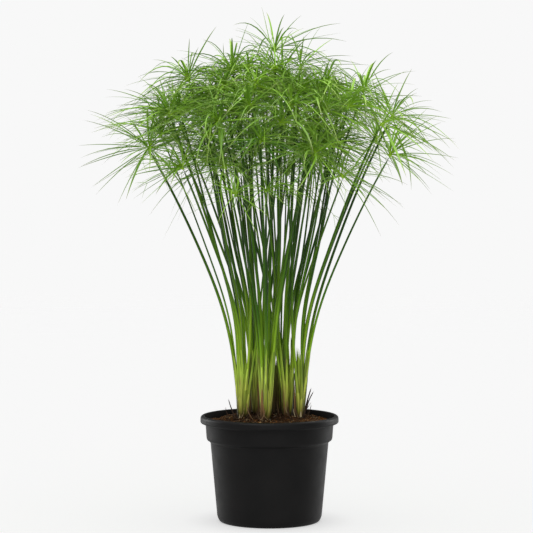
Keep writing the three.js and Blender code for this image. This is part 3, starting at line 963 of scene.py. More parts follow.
# %% Stem finish
def culm_finish():
    """Straw, then bright green, then dark green up the culm, in patches, and yellower at a high tone."""
    finish = Finish("green_culm", roughness=0.45, specular=0.12)
    along, tone = finish.attribute("along"), finish.attribute("tone")
    grown = finish.ramp(along, (0.0, 176, 188, 80), (0.14, 170, 208, 60), (0.3, 142, 188, 44),
                        (0.46, 78, 130, 24), (0.7, 55, 99, 17), (1.0, 76, 122, 26))
    yellow = finish.ramp(along, (0.0, 182, 182, 90), (0.2, 166, 196, 56), (0.5, 98, 138, 26),
                         (1.0, 76, 118, 20))
    body = finish.mix(finish.spread(tone, 0.35, 1.0, 0.0, 0.75), grown, yellow)
    grain = finish.attribute("grain", "Vector")
    body = finish.shade(body, finish.noise(grain, 30, detail=3), (0.35, 235, 235, 225),
                        (0.7, 200, 205, 185))
    body = finish.shade(body, finish.noise(grain, 9, detail=1, stretch=(1, 1, 0.3)),
                        (0.38, 170, 186, 150), (0.6, 255, 255, 255))
    body = finish.lined(body, 2600, detail=2, drawn=0.01, dark=(222, 222, 210), rise=0.00012,
                        strength=0.6)
    finish.colour(finish.edge_shade(body, dark=(0.3, 0.38, 0.22)))
    return finish.material


culm = culm_finish()
print("culm finish:", len(culm.node_tree.nodes), "nodes")

# %% Stems
STEM_STATIONS = 34
STEM_SECTION = round_section(12, ribs=3, rise=0.09)
STEM_RADII = (2.25, 1.3)
STEM_GRAIN_STEP = 0.37
SLIGHT_SHARE = 0.8
stem_random = np.random.default_rng(7)
stem_tones = stem_random.random(len(courses))
stem_turns = stem_random.random(len(courses)) * 2 * np.pi
stem_girths = stem_random.uniform(0.8, 1.2, len(courses))


def stem_radius(share, which):
    """Even thinning from foot to hub, times a share of each stem's own. Slight stems are thinner."""
    thick = STEM_RADII[0] + (STEM_RADII[1] - STEM_RADII[0]) * share
    return thick * MM * (stem_girths * np.where(slight, SLIGHT_SHARE, 1.0))[which, None]


def grow_stems(growth, which):
    """The stems with these numbers, each turned about itself by its own turn."""
    share = np.broadcast_to(np.linspace(0.0, 1.0, STEM_STATIONS), (len(which), STEM_STATIONS))
    radius = stem_radius(share, which)
    across = compass(stem_turns[which])[:, None]
    sweep(growth, place_on(courses[which], share), across, STEM_SECTION, radius, radius,
          stem_tones[which], which * STEM_GRAIN_STEP)


stems = []
for number in range(STEM_COUNT):
    growth = Growth()
    grow_stems(growth, np.array([number]))
    stems.append(growth.piece(f"culm_{number + 1:02d}", culm, [f"stem_{number + 1:02d}"]))
for tuft in range(TUFT_COUNT):
    growth = Growth()
    grow_stems(growth, np.flatnonzero(slight & (stem_tufts == tuft)))
    stems.append(growth.piece(f"slight_culms_{tuft + 1}", culm))
print("stems:", len(stems), "pieces,", triangle_count(stems), "triangles")

# %% [markdown]
# ## The tufts
#
# At the soil every stem stands in two or three sheaths, the leaves of a plant that has no leaf
# blades: pale tubes with a slanting mouth and a short brown point. Sheath presses on sheath, so
# a tuft is broad at its foot and parts into stems a hand's breadth up. A sheath is a skin round
# its stem whose mouth is higher on one side, and whose last ring closes in on the stem.

# %% Sheath finish
def sheath_finish():
    """Brown at the soil, pale and yellowish above, greener upwards, with a dry brown mouth."""
    finish = Finish("pale_sheath", roughness=0.5, specular=0.25)
    along, tone = finish.attribute("along"), finish.attribute("tone")
    grain = finish.attribute("grain", "Vector")
    green = finish.ramp(finish.height(0.142, 0.242), (0.0, 44, 32, 12), (0.05, 96, 84, 34),
                        (0.12, 146, 146, 60), (0.22, 178, 184, 80), (0.36, 194, 206, 86),
                        (0.6, 190, 220, 84), (1.0, 172, 210, 66))
    dry = finish.ramp(along, (0.0, 62, 42, 26), (0.2, 124, 88, 60), (0.6, 170, 138, 100),
                      (1.0, 110, 74, 48))
    patch = finish.noise(grain, 120, detail=2, stretch=(1, 1, 0.25))
    worn = finish.join("MULTIPLY", finish.spread(patch, 0.5, 0.68), finish.spread(tone, 0.2, 0.9))
    body = finish.shade(finish.mix(worn, green, dry),
                        finish.noise(grain, 520, detail=2, stretch=(1, 1, 0.03)),
                        (0.34, 150, 158, 110), (0.55, 248, 248, 240), (0.7, 255, 255, 255))
    body = finish.shade(body, tone, (0.0, 178, 190, 150), (0.45, 255, 255, 255))
    body = finish.lined(body, 1500, detail=3, drawn=0.02, dark=(206, 206, 190), rise=0.0002,
                        strength=0.7)
    finish.colour(finish.edge_shade(body, dark=(0.1, 0.11, 0.04)))
    return finish.material


sheath = sheath_finish()
print("sheath finish:", len(sheath.node_tree.nodes), "nodes")

# %% Sheaths
SHEATH_SIDES = 14
SHEATH_SHARES = np.array([0, 0.08, 0.18, 0.32, 0.5, 0.68, 0.84, 0.94, 1.0, 1.0])
SHEATHS = (
    dict(height=(58, 100), radii=(2.2, 3.3, 2.2), slant=(7, 16)),
    dict(height=(26, 60), radii=(2.4, 4.0, 3.4), slant=(5, 14)),
)
SLIGHT_SHEATH = 0.85
SHEATH_ROOT = 4 * MM
SHEATH_END = 0.9 * MM
SHEATH_GRAIN_STEP = 0.61
LIMB_DRAW = 0.12


def grow_sheaths(growth, which, random, height, radii, slant):
    """
    Height of a point = share * (mouth + slant * ((1 + cos(turn - facing)) / 2)^3). The ring stands
    round the stem's place at that height. Its radius runs through foot, belly and mouth, and is 12 in
    a hundred less where the mouth is longest. The last ring is smaller than the stem.
    """
    count = len(which)
    mouth = random.uniform(*height, (count, 1, 1)) * MM
    rise = random.uniform(*slant, (count, 1, 1)) * MM
    facing = random.uniform(0, 2 * np.pi, (count, 1, 1))
    turn = (np.arange(SHEATH_SIDES) * 2 * np.pi / SHEATH_SIDES)[None, None]
    limb = ((1 + np.cos(turn - facing)) / 2) ** 3
    shares = SHEATH_SHARES[None, :, None]
    up = shares * (mouth + rise * limb)
    share_up = (up + SHEATH_ROOT) / (courses[which, 2, 2] - FOOT_HEIGHT)[:, None, None]
    centre = place_on(courses[which], share_up.reshape(count, -1)).reshape(*share_up.shape, 3)
    girth = np.where(slight[which], SLIGHT_SHEATH, 1.0)[:, None, None]
    radius = np.interp(shares, [0, 0.4, 1], radii) * MM * girth * (1 - LIMB_DRAW * limb * shares)
    radius[:, -1] = SHEATH_END
    around = radius[..., None] * compass(turn)
    rings = centre + around
    along = np.broadcast_to(np.append(SHEATH_SHARES, 1.0), (count, len(SHEATH_SHARES) + 1))
    spot = around + up[..., None] * UP
    spot = np.concatenate([spot.reshape(count, -1, 3), spot[:, -1:, 0]], axis=1)
    spot = (spot + (which * SHEATH_GRAIN_STEP)[:, None, None]).reshape(-1, 3)
    growth.add_rings(rings, rings[:, -1].mean(axis=1), along, random.random(count), spot)


print("sheaths to come:", len(SHEATHS) * len(courses))

# %% Tufts
STOCK_RISES = np.radians([-30, 0, 18, 34, 50, 66, 80])
STOCK_RADIUS = 8 * MM
STOCK_FOOT, STOCK_RISE, STOCK_TIP = 140 * MM, 5 * MM, 145.2 * MM


def rootstock(growth, middle, random, sides=20):
    """
    A lumpy knob: its radius is 8 mm * cos(rise) and its height 5 mm * sin(rise), both swollen by
    three waves and five waves round it.
    """
    rise = STOCK_RISES[:, None]
    turn = (np.arange(sides) * 2 * np.pi / sides)[None]
    waves = 1 + 0.08 * np.cos(3 * turn + random.uniform(0, 6)) + 0.06 * np.cos(5 * turn + 9 * rise)
    radius = STOCK_RADIUS * np.cos(rise) * waves
    height = STOCK_FOOT + STOCK_RISE * np.sin(rise) * waves
    rings = np.array([*middle, 0]) + radius[..., None] * compass(turn) + height[..., None] * UP
    tip = np.array([[*middle, STOCK_TIP]])
    spot = np.concatenate([rings.reshape(-1, 3), tip])
    growth.add_rings(rings[None], tip, np.zeros((1, len(rise) + 1)), np.ones(1), spot)


def make_tuft(number, middle):
    """Both layers of sheaths round every stem of the tuft, and the knob that the stems rise from."""
    random = np.random.default_rng(40 + number)
    growth = Growth()
    for layer in SHEATHS:
        grow_sheaths(growth, np.flatnonzero(stem_tufts == number), random, **layer)
    rootstock(growth, middle, random)
    return growth.piece(f"sheaths_{number + 1}", sheath, [f"tuft_{number + 1:02d}"], 50)


tufts = [make_tuft(number, middle) for number, middle in enumerate(tuft_feet())]
print("tufts:", len(tufts), "pieces,", triangle_count(tufts), "triangles")

# %% [markdown]
# ## Old and young parts at the foot
#
# A clump keeps what it has shed: torn stubs of old stalks between and behind the tufts, dry husks
# that lie against them, scales at their feet, twigs and fibres on the peat. New shoots push up
# beside them. Scattered evenly they would look sown, so those that show in the gaps between tufts
# are listed one by one, and the rest are drawn at random behind and under them.

# %% Straw finish
def straw_finish():
    """Dead stalks: grey-brown, paler at a high tone, with fine lines."""
    finish = Finish("dead_straw", roughness=0.8, specular=0.2)
    body = finish.ramp(finish.attribute("tone"), (0.0, 58, 44, 34), (0.5, 112, 84, 58),
                       (0.85, 158, 138, 100), (1.0, 204, 190, 152))
    finish.colour(finish.lined(body, 1800, detail=3, drawn=0.05, dark=(180, 176, 168), rise=0.0002,
                               strength=0.8))
    return finish.material


straw = straw_finish()
print("straw finish:", len(straw.node_tree.nodes), "nodes")

# %% Dry scales at the foot
FLAT = np.array([[-1, 0], [0, -1], [1, 0], [0, 1]])
SCALES_PER_TUFT = 4


def grow_scales(growth, middle, random):
    """Short dry blades that lean out from the foot. Their course's b points outward or back in."""
    count = SCALES_PER_TUFT
    turn = random.uniform(0, 2 * np.pi, count)
    outward = compass(turn)
    root = np.array([*middle, FOOT_HEIGHT + 4 * MM]) + outward * random.uniform(5, 9.5, (count, 1)) * MM
    lean = np.radians(random.uniform(62, 88, (count, 1)))
    heading = outward * np.cos(lean) + UP * np.sin(lean)
    length = random.uniform(10, 24, (count, 1)) * MM
    bend = random.uniform(-0.12, 0.25, (count, 1))
    share = np.linspace(0, 1, 8)
    centres = quadratic((root, length * heading, length * bend * outward), share)
    width = random.uniform(1.2, 2.6, (count, 1)) * MM * (1 - share ** 2)
    sweep(growth, centres, np.cross(UP, outward)[:, None], FLAT, width, 0.12 * width,
          random.random(count), turn)


def make_scales():
    """A few scales round each tuft's foot."""
    random = np.random.default_rng(23)
    growth = Growth()
    for middle in tuft_feet():
        grow_scales(growth, middle, random)
    return growth.piece("dry_scales", straw, sharp_degrees=50)


scales = make_scales()
print("dry scales:", triangle_count([scales]), "triangles")

# %% Old stalks finish
def stub_finish():
    """Old stalks: brown at the soil, then an olive that painted shade darkens, and some of them brown all
    the way.
    """
    finish = Finish("old_stalk", roughness=0.7, specular=0.2)
    olive = finish.ramp(finish.height(0.143, 0.243), (0.0, 48, 34, 18), (0.2, 84, 70, 34),
                        (0.45, 112, 112, 48), (1.0, 112, 142, 48))
    brown = finish.ramp(finish.height(0.143, 0.193), (0.0, 60, 40, 20), (0.4, 140, 106, 66),
                        (1.0, 150, 118, 68))
    body = finish.mix(finish.spread(finish.attribute("tone"), 0.58, 0.68), olive, brown)
    body = finish.lined(body, 1500, detail=3, drawn=0.04, dark=(170, 168, 156), rise=0.0002,
                        strength=0.8)
    finish.colour(finish.edge_shade(body, dark=(0.4, 0.4, 0.3)))
    return finish.material


old_stalk = stub_finish()
print("old stalk finish:", len(old_stalk.node_tree.nodes), "nodes")

# %% Old stubs
STALK = round_section(8, ribs=3, rise=0.15)
STALK_SHARES = np.linspace(0, 1, 9)
STUB_COUNT = 22
STUB_AREA = (30 * MM, 11 * MM)
STUB_CENTRE = np.array([0, 46]) * MM
STUB_HEIGHTS = (34, 84)
# Old stalks, listed one by one, seen through the gaps between tufts: x, y and height, in millimetres.
PLACED_STUBS = np.array([
    [-29, 24, 98], [-30.5, 28, 76], [5.6, 34, 84], [8.4, 38, 112], [12, 40, 84], [32.5, 22, 118],
    [35, 20, 60], [37.4, 24, 70], [-26.4, 22, 84],
])
# Dry husks: foot, tip and half the width, in millimetres.
HUSKS = np.array([
    [-11, -33, 140, -10, -31, 190, 2.2], [-15, 12, 140, -16, 10, 200, 1.3],
    [-7, -36, 140, -9, -35, 166, 1.6], [21, 2, 140, 19, 0, 182, 1.0],
    [9, 40, 140, 8, 42, 182, 1.4], [-28, 8, 140, -26, 12, 172, 1.3],
    [35, -4, 140, 34, -8, 192, 1.0], [-22, 50, 140, -26, 56, 176, 1.6],
    [20, 52, 140, 22, 58, 170, 1.6],
])


def make_stubs():
    """
    Torn old stalks, spread over an oval behind the tufts or listed one by one, and the husks. A stalk's
    course is root + up * height * s + lean * s^2, and it is about half as wide on top. A husk runs
    straight from foot to tip.
    """
    random = np.random.default_rng(37)
    growth = Growth()
    x, y = on_disc(random, STUB_COUNT, 1.0)
    flat = np.concatenate([STUB_CENTRE + np.column_stack([x, y]) * STUB_AREA, PLACED_STUBS[:, :2] * MM])
    height = np.concatenate([random.uniform(*STUB_HEIGHTS, STUB_COUNT), PLACED_STUBS[:, 2]]) * MM
    count = len(flat)
    root = np.column_stack([flat, np.full(count, FOOT_HEIGHT)])
    lean = np.column_stack([random.uniform(-5, 5, (count, 2)), np.zeros(count)]) * MM
    centres = quadratic((root, height[:, None] * UP, lean), STALK_SHARES)
    turn = random.uniform(0, np.pi, count)
    turn[STUB_COUNT:] *= 0.1
    width = random.uniform(1.5, 2.6, (count, 1)) * MM * (1 - 0.45 * STALK_SHARES ** 2)
    sweep(growth, centres, compass(turn)[:, None], STALK, width, 0.6 * width,
          0.62 * random.random(count), turn)
    root, tip = HUSKS[:, :3] * MM, HUSKS[:, 3:6] * MM
    centres = quadratic((root, tip - root, 0 * tip), STALK_SHARES)
    width = HUSKS[:, 6:] * MM * (1 - 0.9 * STALK_SHARES ** 2)
    sweep(growth, centres, np.array([1, 0, 0]), STALK, width, 0.5 * width, np.ones(len(HUSKS)),
          HUSKS[:, 0])
    return growth.piece("old_stubs", old_stalk, sharp_degrees=50)


stubs = make_stubs()
print("old stubs and husks:", triangle_count([stubs]), "triangles")

# %% Young shoots
SHOOTS_PER_TUFT = 7
SHOOT_HEIGHTS = (44, 108)


def make_shoots():
    """
    Young shoots, pointed sheaths without a stem yet. The course of one is root + up * height * s +
    outward * lean * s^2, and half its width is width * (0.75 + s) * (1 - s^3).
    """
    random = np.random.default_rng(41)
    growth = Growth()
    middle = np.repeat(tuft_feet(), SHOOTS_PER_TUFT, axis=0)
    count = len(middle)
    turn = random.uniform(0, 2 * np.pi, count)
    outward = compass(turn)
    root = np.column_stack([middle, np.full(count, FOOT_HEIGHT)])
    root = root + outward * random.uniform(2, 6, (count, 1)) * MM
    height = random.uniform(*SHOOT_HEIGHTS, (count, 1)) * MM
    lean = random.uniform(0, 11, (count, 1)) * MM
    s = STALK_SHARES
    centres = quadratic((root, height * UP, lean * outward), s)
    width = random.uniform(1.8, 3.4, (count, 1)) * MM * (0.75 + s) * (1 - s ** 3)
    sweep(growth, centres, np.cross(UP, outward)[:, None], STALK, width, 0.5 * width,
          0.7 * random.random(count), turn)
    return growth.piece("young_shoots", sheath, sharp_degrees=50)


shoots = make_shoots()
print("young shoots:", triangle_count([shoots]), "triangles")

# %% Fibres
FIBRES = 260
FIBRE_ROOTS = 80 * MM
FIBRE_LENGTHS = (5, 20)
FIBRE_RADII = (0.15, 0.4)


def make_fibres():
    """Fibres: centre = root + heading * way + side * curl * way^2, a thread's breadth above the peat."""
    random = np.random.default_rng(29)
    growth = Growth()
    x, y = on_disc(random, FIBRES, FIBRE_ROOTS)
    turn = random.uniform(0, 2 * np.pi, FIBRES)
    length = random.uniform(*FIBRE_LENGTHS, (FIBRES, 1)) * MM
    curl = random.uniform(-0.5, 0.5, (FIBRES, 1))
    share = np.linspace(0, 1, 7)
    heading = compass(turn)
    root = np.stack([x, y, 0 * x], axis=-1)
    centres = quadratic((root, length * heading, length * curl * np.cross(UP, heading)), share)
    lift = 0.5 * MM + length * random.uniform(0, 0.3, (FIBRES, 1)) * share * (1 - share)
    centres[..., 2] = ground_height(centres[..., 0], centres[..., 1]) + lift
    inside = np.hypot(centres[..., 0], centres[..., 1]).max(axis=1) < STREWN_RADIUS
    centres, turn, heading = centres[inside], turn[inside], heading[inside]
    radius = random.uniform(*FIBRE_RADII, (len(turn), 1)) * MM * (1 - 0.8 * share)
    sweep(growth, centres, np.cross(UP, heading)[:, None], THREAD, radius, radius,
          random.random(len(turn)), turn)
    return growth.piece("peat_fibres", straw)


fibres = make_fibres()
print("fibres:", triangle_count([fibres]), "triangles")

# %% Twigs
# Twigs: root, tip and radius, in millimetres.
TWIGS = np.array([
    [46.5, -6, 142, 57, -10, 184, 1.5], [50, -8, 152, 60, -20, 180, 1.2],
    [51, -4, 141, 57, -6, 160, 0.8], [-46, -10, 140, -56, -16, 169, 1.1],
    [-55, -6, 140, -60, -10, 157, 0.7], [-30, -12, 142, -27, -22, 160, 0.7],
    [-20, -20, 142, -9, -30, 158, 0.7], [18, -4, 142, 9, -12, 156, 0.8],
    [-8, -36, 140, -18, -46, 150, 0.8], [30, -16, 141, 22, -26, 152, 0.7],
    [44, 22, 140, 58, 30, 160, 0.6], [-30, 40, 140, -44, 50, 160, 0.5],
    [10, 56, 140, 4, 70, 158, 0.5], [-20, -34, 140, -31, -32, 166, 0.9],
    [-13, -42, 140, -5, -38, 157, 0.6], [4, -36, 140, -8, -40, 151, 0.5],
    [-40, -14, 141, -34, -20, 158, 0.5], [26, -2, 141, 21, -8, 158, 0.6],
    [38, -10, 141, 33, -14, 156, 0.5],
])
TWIG_SHARES = np.linspace(0, 1, 10)


def make_twigs():
    """A twig: centre = root + (tip - root) * way, bent aside by a half wave."""
    random = np.random.default_rng(31)
    growth = Growth()
    root, tip = TWIGS[:, None, :3] * MM, TWIGS[:, None, 3:6] * MM
    share = TWIG_SHARES[None, :, None]
    bend = random.normal(size=(len(TWIGS), 1, 3)) * 1.4 * MM
    centres = root + (tip - root) * share + bend * np.sin(np.pi * share)
    radius = TWIGS[:, 6:] * MM * (1 - 0.5 * TWIG_SHARES)
    tone = np.linspace(0, 1, len(TWIGS)) ** 2
    sweep(growth, centres, np.array([0, 1, 0]), round_section(6), radius, radius, tone, tone)
    return growth.piece("dead_twigs", straw)


dead_twigs = make_twigs()
print("twigs:", len(TWIGS), "with", triangle_count([dead_twigs]), "triangles")

# %% [markdown]
# ## The umbels
#
# An umbel is a knob on the stem's end, no larger than a pea, from which some dozen narrow bracts
# and many thread-fine rays arch out. The solids have eighteen blades each. Their courses are read
# back from the solid's points, so the fine bracts lie exactly where the solid ones do. Around them
# grow the rays, which a formula spreads over the half sphere above the knob. Umbels at the top and
# out at the sides are sparser and paler, and no ray stands above the crown's even dome. The long
# bracts that draw the plant's outline against the white are placed one by one.

# %% Read the solid rays
BRACT_MIDDLE = 0.38
FINE_MIDDLE = 0.55


def read_rays(node):
    """
    The (root, middle, tip, is it a bract) of each of a solid umbel's rays. A tip is a point of just
    three triangles. From it each step back is a ring of three points, down to the hub's face.
    """
    points, triangles = solid(node)
    linked = np.zeros((len(points),) * 2, bool)
    linked[triangles, triangles[:, [1, 2, 0]]] = True
    linked |= linked.T
    rays = []
    for tip in np.flatnonzero(np.bincount(triangles.ravel(), minlength=len(points)) == 3):
        seen = np.zeros(len(points), bool)
        seen[tip] = True
        rings = [np.flatnonzero(linked[tip])]
        while len(rings[-1]) == 3:
            seen[rings[-1]] = True
            rings.append(np.flatnonzero(linked[rings[-1]].any(axis=0) & ~seen))
        middles = [points[ring].mean(axis=0) for ring in rings[:-1]]
        rays.append((middles[-1], middles[-2], points[tip], len(middles) == 3))
    return rays


def blade_courses(root, middle, tip, is_bract):
    """
    A ray's course is root + a * s + b * s^2. With the middle at share m, b is
    (middle - root - m (tip - root)) / (m^2 - m), and a is tip - root - b.
    """
    m = np.where(is_bract, BRACT_MIDDLE, FINE_MIDDLE)[:, None]
    b = (middle - root - m * (tip - root)) / (m * m - m)
    return root, tip - root - b, b


solid_rays = [read_rays(f"umbel_{i + 1:02d}") for i in range(STEM_COUNT)]
bract_count = sum(ray[3] for rays in solid_rays for ray in rays)
print("solid rays:", sum(map(len, solid_rays)), "of which bracts:", bract_count)

# %% [markdown]
# A bract is bright where it leaves the knob, mid green along its length, and grey-brown at its
# withered tip. A ray is paler, because it is so thin that light comes through. One finish does
# both: the tone that each skin carries picks its green.

# %% Umbel finish
def leaf_finish():
    """Two greens along a blade, deep and light, mixed by its tone, with fine lines."""
    finish = Finish("green_leaf", roughness=0.45, specular=0.2)
    along = finish.attribute("along")
    deep = finish.ramp(along, (0.0, 132, 182, 36), (0.1, 66, 116, 18), (0.45, 47, 94, 15),
                       (0.7, 58, 98, 26), (0.88, 84, 92, 50), (1.0, 100, 92, 76))
    light = finish.ramp(along, (0.0, 162, 200, 52), (0.15, 128, 174, 44), (0.6, 136, 178, 64),
                        (0.88, 144, 168, 84), (1.0, 150, 146, 106))
    body = finish.mix(finish.attribute("tone"), deep, light)
    finish.colour(finish.lined(body, 2200, detail=2, drawn=0.02, dark=(226, 228, 214), rise=0.0001,
                               strength=0.5))
    return finish.material


leaf = leaf_finish()
print("umbel finish:", len(leaf.node_tree.nodes), "nodes")

# %% Bracts
BRACT_STATIONS = np.array([0, 0.07, 0.16, 0.28, 0.42, 0.56, 0.7, 0.82, 0.92, 1.0])
BRACT_WIDTH = (2.7, 4.2)
BLADE_WIDTH = (1.5, 2.8)
BLADE_DEPTH = 0.42


def level_across(course):
    """The level direction square to each course's own upright plane."""
    return unit(np.cross(UP, course[1] + course[2]) + np.array([1e-9, 0, 0]))[:, None]


def grow_blades(growth, course, width, random, tone):
    """
    Half width = width/2 * (0.45 + 0.55 s') * (1 - s^3), where s' rises from 0 to 1 over the first
    quarter: narrow at the knob, broadest a third of the way out, and sharp at the tip.
    """
    s = BRACT_STATIONS
    centres = quadratic(course, s)
    swell = (0.45 + 0.55 * np.clip(s / 0.25, 0, 1)) * (1 - s ** 3)
    half = width[:, None] / 2 * swell
    sweep(growth, centres, level_across(course), CHANNEL, half, BLADE_DEPTH * half, tone,
          random.random(len(width)) * 9)


print("a blade has", len(BRACT_STATIONS), "stations and is up to", BRACT_WIDTH[1], "mm wide")

# %% [markdown]
# ## The rays
#
# The real rays are a few hundred threads on each umbel, and no two run alike. Hair strands would
# draw them, but strands aren't a mesh and are lost when the piece is handed on. So each is a thin
# three-sided skin, and a few dozen stand for the few hundred. There are four kinds: broad arches
# that cover the crown's top, rays, still finer threads, and the forks at the rays' ends.

# %% How full and how pale an umbel is
CROWN_MIDDLE = -16 * MM


def fullness(hub):
    """More rays on umbels near the middle of the crown, fewer on its outer, low and topmost ones."""
    inner = by_mm(math.hypot(hub[0], hub[1]), [60, 110, 150], [1.6, 1.25, 0.9])
    right = by_mm(hub[0], [-10, 40, 110, 160], [1.0, 0.85, 0.6, 0.12])
    low = by_mm(hub[2], [470, 520], [0.55, 1.0])
    return inner * right * low * by_mm(hub[2], [570, 620], [1.0, 0.16])


def dome_height(place):
    """
    The crown's outline: the height is 656 - 0.1 r - 0.0016 r^2 millimetres, where r is the distance
    from the crown's middle and counts a sixth more to the front and back.
    """
    r = np.hypot(place[..., 0] - CROWN_MIDDLE, place[..., 1] * 7 / 6) / MM
    return (656 - 0.1 * r - 0.0016 * r ** 2) * MM


def paleness_with_painted_light(hub):
    """How much paler an umbel's rays are: painted light at the top and right, and paler far out and low.
    """
    top = by_mm(hub[2], [480, 520, 560, 620], [0.2, 0.0, 0.22, 0.8])
    outer = by_mm(math.hypot(hub[0], hub[1]), [110, 160], [0.0, 0.32])
    return top + outer + by_mm(hub[0], [20, 110], [0.0, 0.32])


full_shares = [fullness(hub) for hub in courses[:, 2]]
print("share of full rays, least and most:", round(min(full_shares), 2), round(max(full_shares), 2))

# %% Directions of the umbels
UPRIGHT_SHARE = 0.7
TILT = 0.45


def frames_at(hub_heading):
    """
    Three square directions for each umbel. The last is the way that its stem points, turned partly
    upright and tilted a little at random.
    """
    random = np.random.default_rng(3)
    lift = UPRIGHT_SHARE * UP + random.normal(0, TILT, hub_heading.shape)
    axis = unit(hub_heading + lift)
    side = unit(np.cross([0, 1, 0], axis))
    return np.stack([side, np.cross(axis, side), axis], axis=-1)


poses = frames_at(heading_on(courses, np.ones((len(courses), 1)))[:, 0])
print("umbels that point up:", int((poses[:, 2, 2] > 0).sum()), "of", len(poses))

# %% Courses of the rays
GOLDEN_ANGLE = math.pi * (3 - math.sqrt(5))
REACH_SLACK = 8 * MM
RAYS = dict(levels=(-26, 82), lengths=(50, 104), sags=(-0.1, 0.6), arch=0.6, curl=0.28)
THREADS = dict(levels=(-36, 86), lengths=(42, 90), sags=(-0.1, 0.8), arch=0.6, curl=0.5)
ARCHES = dict(levels=(20, 80), lengths=(84, 124), sags=(0.3, 0.9), arch=0.2, curl=0.3)
RAY_COUNT = 20
THREAD_COUNT = 14
ARCH_COUNTS = (5, 8, 6, 2)
ARCH_WIDTH = (2.1, 4.0)
RAY_WIDTH = (0.9, 2.2)
THREAD_WIDTH = (0.5, 0.9)
LEVEL_SPREAD = 14
TURN_SPREAD = 0.9
STEEP_SAGS = (0.2, 1.8)
DRAWN_IN = 0.75
DOME_SLACK = (-30, 14)
KNOB_EDGE = 1.5 * MM
ROOT_RISE = 3 * MM


def ray_courses(hub, pose, size, random, count, levels, lengths, sags, arch, curl):
    """
    Headings turn by the golden angle from ray to ray while their level climbs, so they spread evenly
    over a dome. A ray's course is root + heading * length * s + (curl aside - sag down) * length * s^2.
    A steep ray arches over more. One that would leave the plant's box is drawn in by a quarter, and one
    that would rise above the crown's outline sags until its tip is about as high as that.
    """
    order = (np.arange(count) + 0.5) / count
    outer = by_mm(math.hypot(hub[0], hub[1]), [80, 150], [0, 1])
    level = np.interp(order, [0, 1], [levels[0] * (1 - 0.8 * outer), levels[1]])
    level = np.radians(level + random.normal(0, LEVEL_SPREAD, count))[:, None]
    turn = GOLDEN_ANGLE * np.arange(count) + random.normal(0, TURN_SPREAD, count)
    heading = (compass(turn) * np.cos(level) + UP * np.sin(level)) @ pose.T
    length = random.uniform(*lengths, count)[:, None] * MM * size
    steep = np.clip(heading[:, 2], 0, 1) * random.uniform(*STEEP_SAGS, count)
    sag = (1 - 0.5 * outer) * (random.uniform(*sags, count) + arch * steep)[:, None]
    aside = unit(np.cross(heading, UP + 1e-6))
    bend = random.normal(0, curl, count)[:, None] * aside - sag * UP
    root = hub + heading * KNOB_EDGE + pose[:, 2] * ROOT_RISE
    tip = root + (heading + bend) * length
    low, high = (np.array(corner) for corner in cad_box)
    outside = ((tip < low - REACH_SLACK) | (tip > high + REACH_SLACK)).any(axis=1)
    length[outside] *= DRAWN_IN
    tip = root + (heading + bend) * length
    slack = random.uniform(*DOME_SLACK, count) * MM
    bend[:, 2] -= np.clip(tip[:, 2] - dome_height(tip) - slack, 0, None) / length[:, 0]
    return root, heading * length, bend * length


print("an umbel of full share has", RAY_COUNT, "rays and", THREAD_COUNT, "threads")

# %% Rays
RAY_STATIONS = np.linspace(0, 1, 9)


def grow_rays(growth, course, widths, random, tone):
    """Threads: the radius keeps even for half the way, and thins to the tip."""
    s = RAY_STATIONS
    centres = quadratic(course, s)
    radius = widths[:, None] / 2 * np.clip((1.04 - s) / 0.5, 0, 1)
    sweep(growth, centres, level_across(course), THREAD, radius, radius, tone,
          random.random(len(widths)) * 9)


print("a ray has", (len(RAY_STATIONS) - 1) * len(THREAD), "points round it and one at its tip")

# %% Forks at the rays' ends
FORK_SHARE = 0.45
FORK_LENGTHS = (12, 32)
FORK_WIDTH = 0.55
FORK_STARTS = (0.5, 0.92)
FORK_SPREAD = 0.6
FORK_SAG = 0.2


def fork_courses(course, random):
    """Two hair-fine branches that leave a ray near its end and spread to either side of its heading."""
    root, a, b = course
    start = random.uniform(*FORK_STARTS, len(root))[:, None]
    place = root + a * start + b * start ** 2
    heading = unit(a + 2 * b * start)
    aside = FORK_SPREAD * unit(np.cross(heading, random.normal(size=heading.shape)))
    length = random.uniform(*FORK_LENGTHS, len(root))[:, None] * MM
    both = np.concatenate([unit(heading - aside) * length, unit(heading + aside) * length])
    sag = -FORK_SAG * UP * length
    return np.concatenate([place, place]), both, np.concatenate([sag, sag])


print("of the rays", FORK_SHARE, "are forked")

# %% Knob
# Radius and height of the rings of the bud at a stem's end, in millimetres.
KNOB = np.array([(1.1, -1.2), (2.0, 0.6), (2.7, 2.4), (2.3, 4.2), (1.2, 5.4)])
KNOB_TOP = 6.4


def grow_knob(growth, hub, pose, size, sides=10):
    """The bud's rings, turned about the stem's heading."""
    circle = round_section(sides, ribs=5, rise=0.08)
    radius, height = (KNOB * MM * size).T[..., None, None]
    flat = np.concatenate([radius * circle, height + 0 * circle[:, :1]], axis=-1)
    tip = hub + pose[:, 2] * KNOB_TOP * MM * size
    spot = np.concatenate([flat.reshape(-1, 3), KNOB_TOP * MM * UP[None]])
    growth.add_rings((flat @ pose.T + hub)[None], tip[None], np.zeros((1, 6)), np.array([0.5]), spot)


print("a full knob is", 2 * KNOB[:, 0].max(), "mm across")
